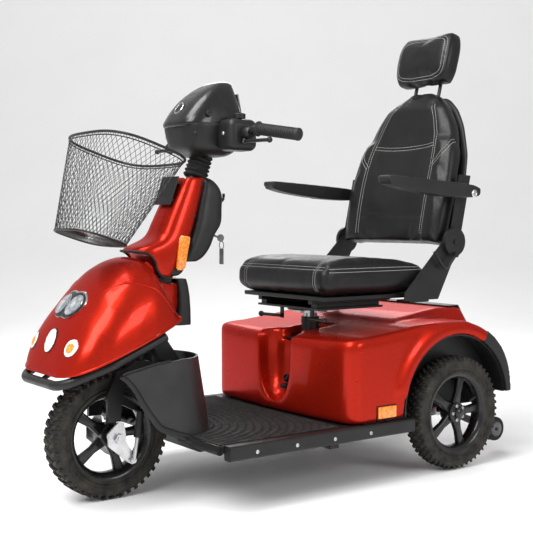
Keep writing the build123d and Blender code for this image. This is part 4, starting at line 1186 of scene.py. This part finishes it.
def double_seam(name, obj, lines, body, depth=2.2, width=5, gap=5):
    groove(obj, lines, depth, width)
    tree = tree_of(obj)
    rows = [beside(line, tree, shift) for line in lines for shift in (-gap, gap)]
    stitches(name, rows, body)


def make_cushion():
    front, base = 565, 526
    side = [(front + 14, base + 6), (front + 4, base + 30), (front + 6, base + 70), (front + 30, base + 96),
            (front + 80, base + 104), (front + 190, base + 106), (front + 320, base + 96),
            (front + 410, base + 80), (front + 428, base + 60), (front + 428, base + 8)]
    pad = prism("seat_cushion_leather", side, 228, LEATHER)
    modify(pad, "BEVEL", width=26 * MM, segments=5, limit_method="ANGLE", angle_limit=radians(50))
    bake(pad)
    pillow(pad, 6, 7)
    tree = tree_of(pad)
    top = [on_surface(tree, [(x, y, 700) for y in np.linspace(front + 26, front + 400, 90)], (0, 0, -1))
           for x in (-172, 172)]
    fronts = [on_surface(tree, [(x, front - 100, z) for z in np.linspace(base + 84, base + 14, 30)], (0, 1, 0))
              for x in (-172, 172)]
    rim = on_surface(tree, [(x, front - 100, base + 82) for x in np.linspace(-205, 205, 90)], (0, 1, 0))
    sides = [on_surface(tree, [(s * 400, y, base + 76) for y in np.linspace(front + 30, front + 410, 90)],
                        (-s, 0, 0)) for s in (-1, 1)]
    double_seam("seat_cushion_stitches", pad, top + fronts + [rim] + sides, "seat")
    ride(pad, "seat", "leather", "seat_cushion")


def lean_point(x, height, ahead):
    """A point of the backrest, from the recline pivot up the lean."""
    return (x, 1070 + height * sin(LEAN) - ahead * cos(LEAN), 681 + height * cos(LEAN) + ahead * sin(LEAN))


def back_half(height):
    """Half-width of the backrest at a height up the lean."""
    return float(np.interp(height, [-20, 60, 180, 290, 390, 450, 490, 508],
                           [232, 238, 240, 226, 184, 142, 92, 44]))


def loft_pad(name, heights, half_at, front_at, back_at, material, around=28):
    """A closed pad with a superellipse section at each height up the lean."""
    verts = []
    n = around * 2
    for height in heights:
        for k in range(n):
            a = pi * k / around
            x = half_at(height) * bent(cos(a), 0.45)
            ahead = front_at(height, x) if sin(a) >= 0 else back_at(height, x)
            mid = (front_at(height, x) + back_at(height, x)) / 2
            verts.append(at(*lean_point(x, height, mid + (ahead - mid) * abs(sin(a)) ** 0.45)))
    faces = grid_faces(len(heights), n, False, True) + end_faces(len(heights), n)
    return new_object(name, verts, faces, material, 60)


def make_backrest():
    def front_at(height, x):
        wing = 26 * max(abs(x) / 240 - 0.45, 0) / 0.55 if height < 330 else 12 * max(abs(x) / 200 - 0.45, 0)
        lumbar = 8 * sin(pi * min(max(height / 330, 0), 1))
        return 40 + lumbar + wing - 26 * max(height - 440, 0) / 70

    heights = [*np.linspace(-14, 440, 24), *np.linspace(455, 506, 6)]
    pad = loft_pad("backrest_leather", heights, lambda h: back_half(h) - 6, front_at,
                   lambda h, x: -16, LEATHER)
    pillow(pad, 6, 7)
    tree = tree_of(pad)
    toward = (0, cos(LEAN), -sin(LEAN))

    def line(points):
        return on_surface(tree, [lean_point(x, h, 150) for x, h in points], toward)

    sides = []
    for s in (-1, 1):
        curve = [(s * 150, 12), (s * 152, 120), (s * 150, 230), (s * 138, 320), (s * 112, 400), (s * 84, 452)]
        sides.append(line(smooth_line(curve, 110)))
    across = line([(x, 308 - 10 * (1 - (x / 140) ** 2)) for x in np.linspace(-138, 138, 80)])
    low = line([(x, 70 + 4 * (1 - (x / 150) ** 2)) for x in np.linspace(-150, 150, 80)])
    shoulders = [line(smooth_line([(s * 150, 235), (s * 176, 262), (s * 196, 300), (s * 200, 330)], 40))
                 for s in (-1, 1)]
    double_seam("backrest_stitches", pad, [*sides, across, *shoulders], "backrest")
    groove(pad, [low], 2.5, 7)
    ride(pad, "backrest", "leather", "backrest_pad")
    shell = loft_pad("backrest_back_shell", [*np.linspace(16, 470, 22), 484, 492], lambda h: back_half(h) - 12,
                     lambda h, x: -19, lambda h, x: -46 + 14 * (abs(x) / 240) ** 2, SOFT_BLACK)
    modify(shell, "SUBSURF", levels=1, render_levels=1)
    bake(shell)
    shade(shell, 60)
    ride(shell, "backrest", "black_shell", "backrest_shell")


def make_headrest():
    def ends(height):
        return abs((height - 612) / 82) ** 3

    pad = loft_pad("headrest_leather", np.linspace(530, 694, 14), lambda h: 122 - 14 * ends(h),
                   lambda h, x: 50 + 8 * (abs(x) / 120) ** 2 - 18 * ends(h),
                   lambda h, x: -24 + 8 * ends(h), LEATHER)
    pillow(pad, 5, 6)
    tree = tree_of(pad)
    toward = (0, cos(LEAN), -sin(LEAN))
    loop = []
    for a in np.linspace(0, 2 * pi, 140):
        loop.append((104 * bent(cos(a), 0.4), 612 + 68 * bent(sin(a), 0.4)))
    ring = on_surface(tree, [lean_point(x, h, 200) for x, h in loop], toward)
    double_seam("headrest_stitches", pad, [ring], "headrest")
    ride(pad, "headrest", "leather", "headrest_pad")


def make_armrests():
    for side, name in SIDES:
        x = side * 281
        arm_y, arm_z = 745, 827
        top = smooth_line([(-2, 40), (2, 48), (10, 50), (60, 48), (200, 40), (340, 30), (380, 20)], 50)
        low = [(385, 8), (372, -6), (325, -10), (204, -5), (194, 1), (184, -2), (150, 1), (60, 13), (8, 25)]
        outline = [(arm_y + a, arm_z + b) for a, b in [*top, *smooth_line(low, 60)]]
        pad = prism("pad", outline, 25, SOFT_BLACK, x=x)
        moulded(pad, 3, 4)
        calm_normals(pad, 5, 0.9)
        head = [(-2, 12), (side * 2, 12), (side * 4, 9), (side * 4, 6), (side * 2, 5), (side * 2, 0.2)]
        bolt = turned("bolt", head, (x + side * 24.5, 1098, 829), ACROSS, STEEL, 32)
        arm = joined(f"armrest_{name}_moulded", [pad, bolt])
        ride(arm, f"armrest_{name}", "black_shell", f"armrest_{name}")


# ---- CAD nodes that keep their shape -----------------------------------------------------
KEPT = (
    (POWDER, "chassis_frame antitip_bracket fork bumper_bar tilt_bracket tiller_column handlebar brake_lever "
             "seat_turntable swivel_lever slide_lever seat_pan recline_brackets recline_lever headrest_posts"),
    (BLACK, "side_rails floor_pan batteries throttle_lever speed_dial backrest_arms"),
    (STEEL, "transaxle axle_carriers seat_post"),
    (SHIELD, "leg_shield"), (GREY, "controller"), (RED_LENS, "horn_button"), (KEY_STEEL, "ignition_key"),
)


def finish_kept_nodes():
    for material, nodes in KEPT:
        for node in nodes.split():
            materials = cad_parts[node].data.materials
            materials.clear()
            materials.append(material)


# ---- Stage -------------------------------------------------------------------------------
def make_stage():
    m = Maker("studio_floor")
    m.put("Base Color", m.ramp(m.noise(2, 2), [(0.3, grey(0.92)), (0.7, grey(0.94))]))
    m.put("Roughness", 0.55)
    reach, bend, wall, height = 14.0, 3.0, 4.0, 9.0
    rows = [(-reach, 0.0), (wall, 0.0)]
    rows += [(wall + bend * sin(a), bend * (1 - cos(a))) for a in np.linspace(0.1, pi / 2, 16)]
    rows.append((wall + bend, height))
    turn = Matrix.Rotation(CAMERA_AZIMUTH, 3, "Z")
    verts = [turn @ Vector((x, y, z - 0.0005)) for y, z in rows for x in (-reach, reach)]
    floor = new_object("studio_floor", verts, grid_faces(len(rows), 2), m.material, 60)
    world = bpy.data.worlds.new("world")
    bpy.context.scene.world = world
    world.use_nodes = True
    background = world.node_tree.nodes["Background"].inputs
    background["Color"].default_value = (1, 1, 1, 1)
    background["Strength"].default_value = 0.55
    for name, place, size, power in (("key", (1.2, -3.2, 3.4), 2.2, 150), ("fill", (4.4, 1.0, 2.2), 1.6, 60),
                                     ("top", (-0.2, -1.6, 4.2), 2.0, 120), ("back", (-3.2, 2.6, 2.8), 2.2, 50)):
        data = bpy.data.lights.new(name, "AREA")
        data.energy = power
        data.size = size
        light = bpy.data.objects.new(name, data)
        bpy.context.collection.objects.link(light)
        light.location = place
        aim = Vector((0, 0, 0.5)) - Vector(place)
        light.rotation_euler = aim.to_track_quat("-Z", "Y").to_euler()
    bpy.context.scene.view_settings.view_transform = "Standard"


for make in (make_wheels, make_nose, make_nose_lamps, make_neck, make_tiller_covers, make_boot, make_console,
             make_grips, make_basket, make_body, make_body_trim, make_floor_mat, make_shield_trim, make_cushion,
             make_backrest, make_headrest, make_armrests, finish_kept_nodes, make_stage):
    make()
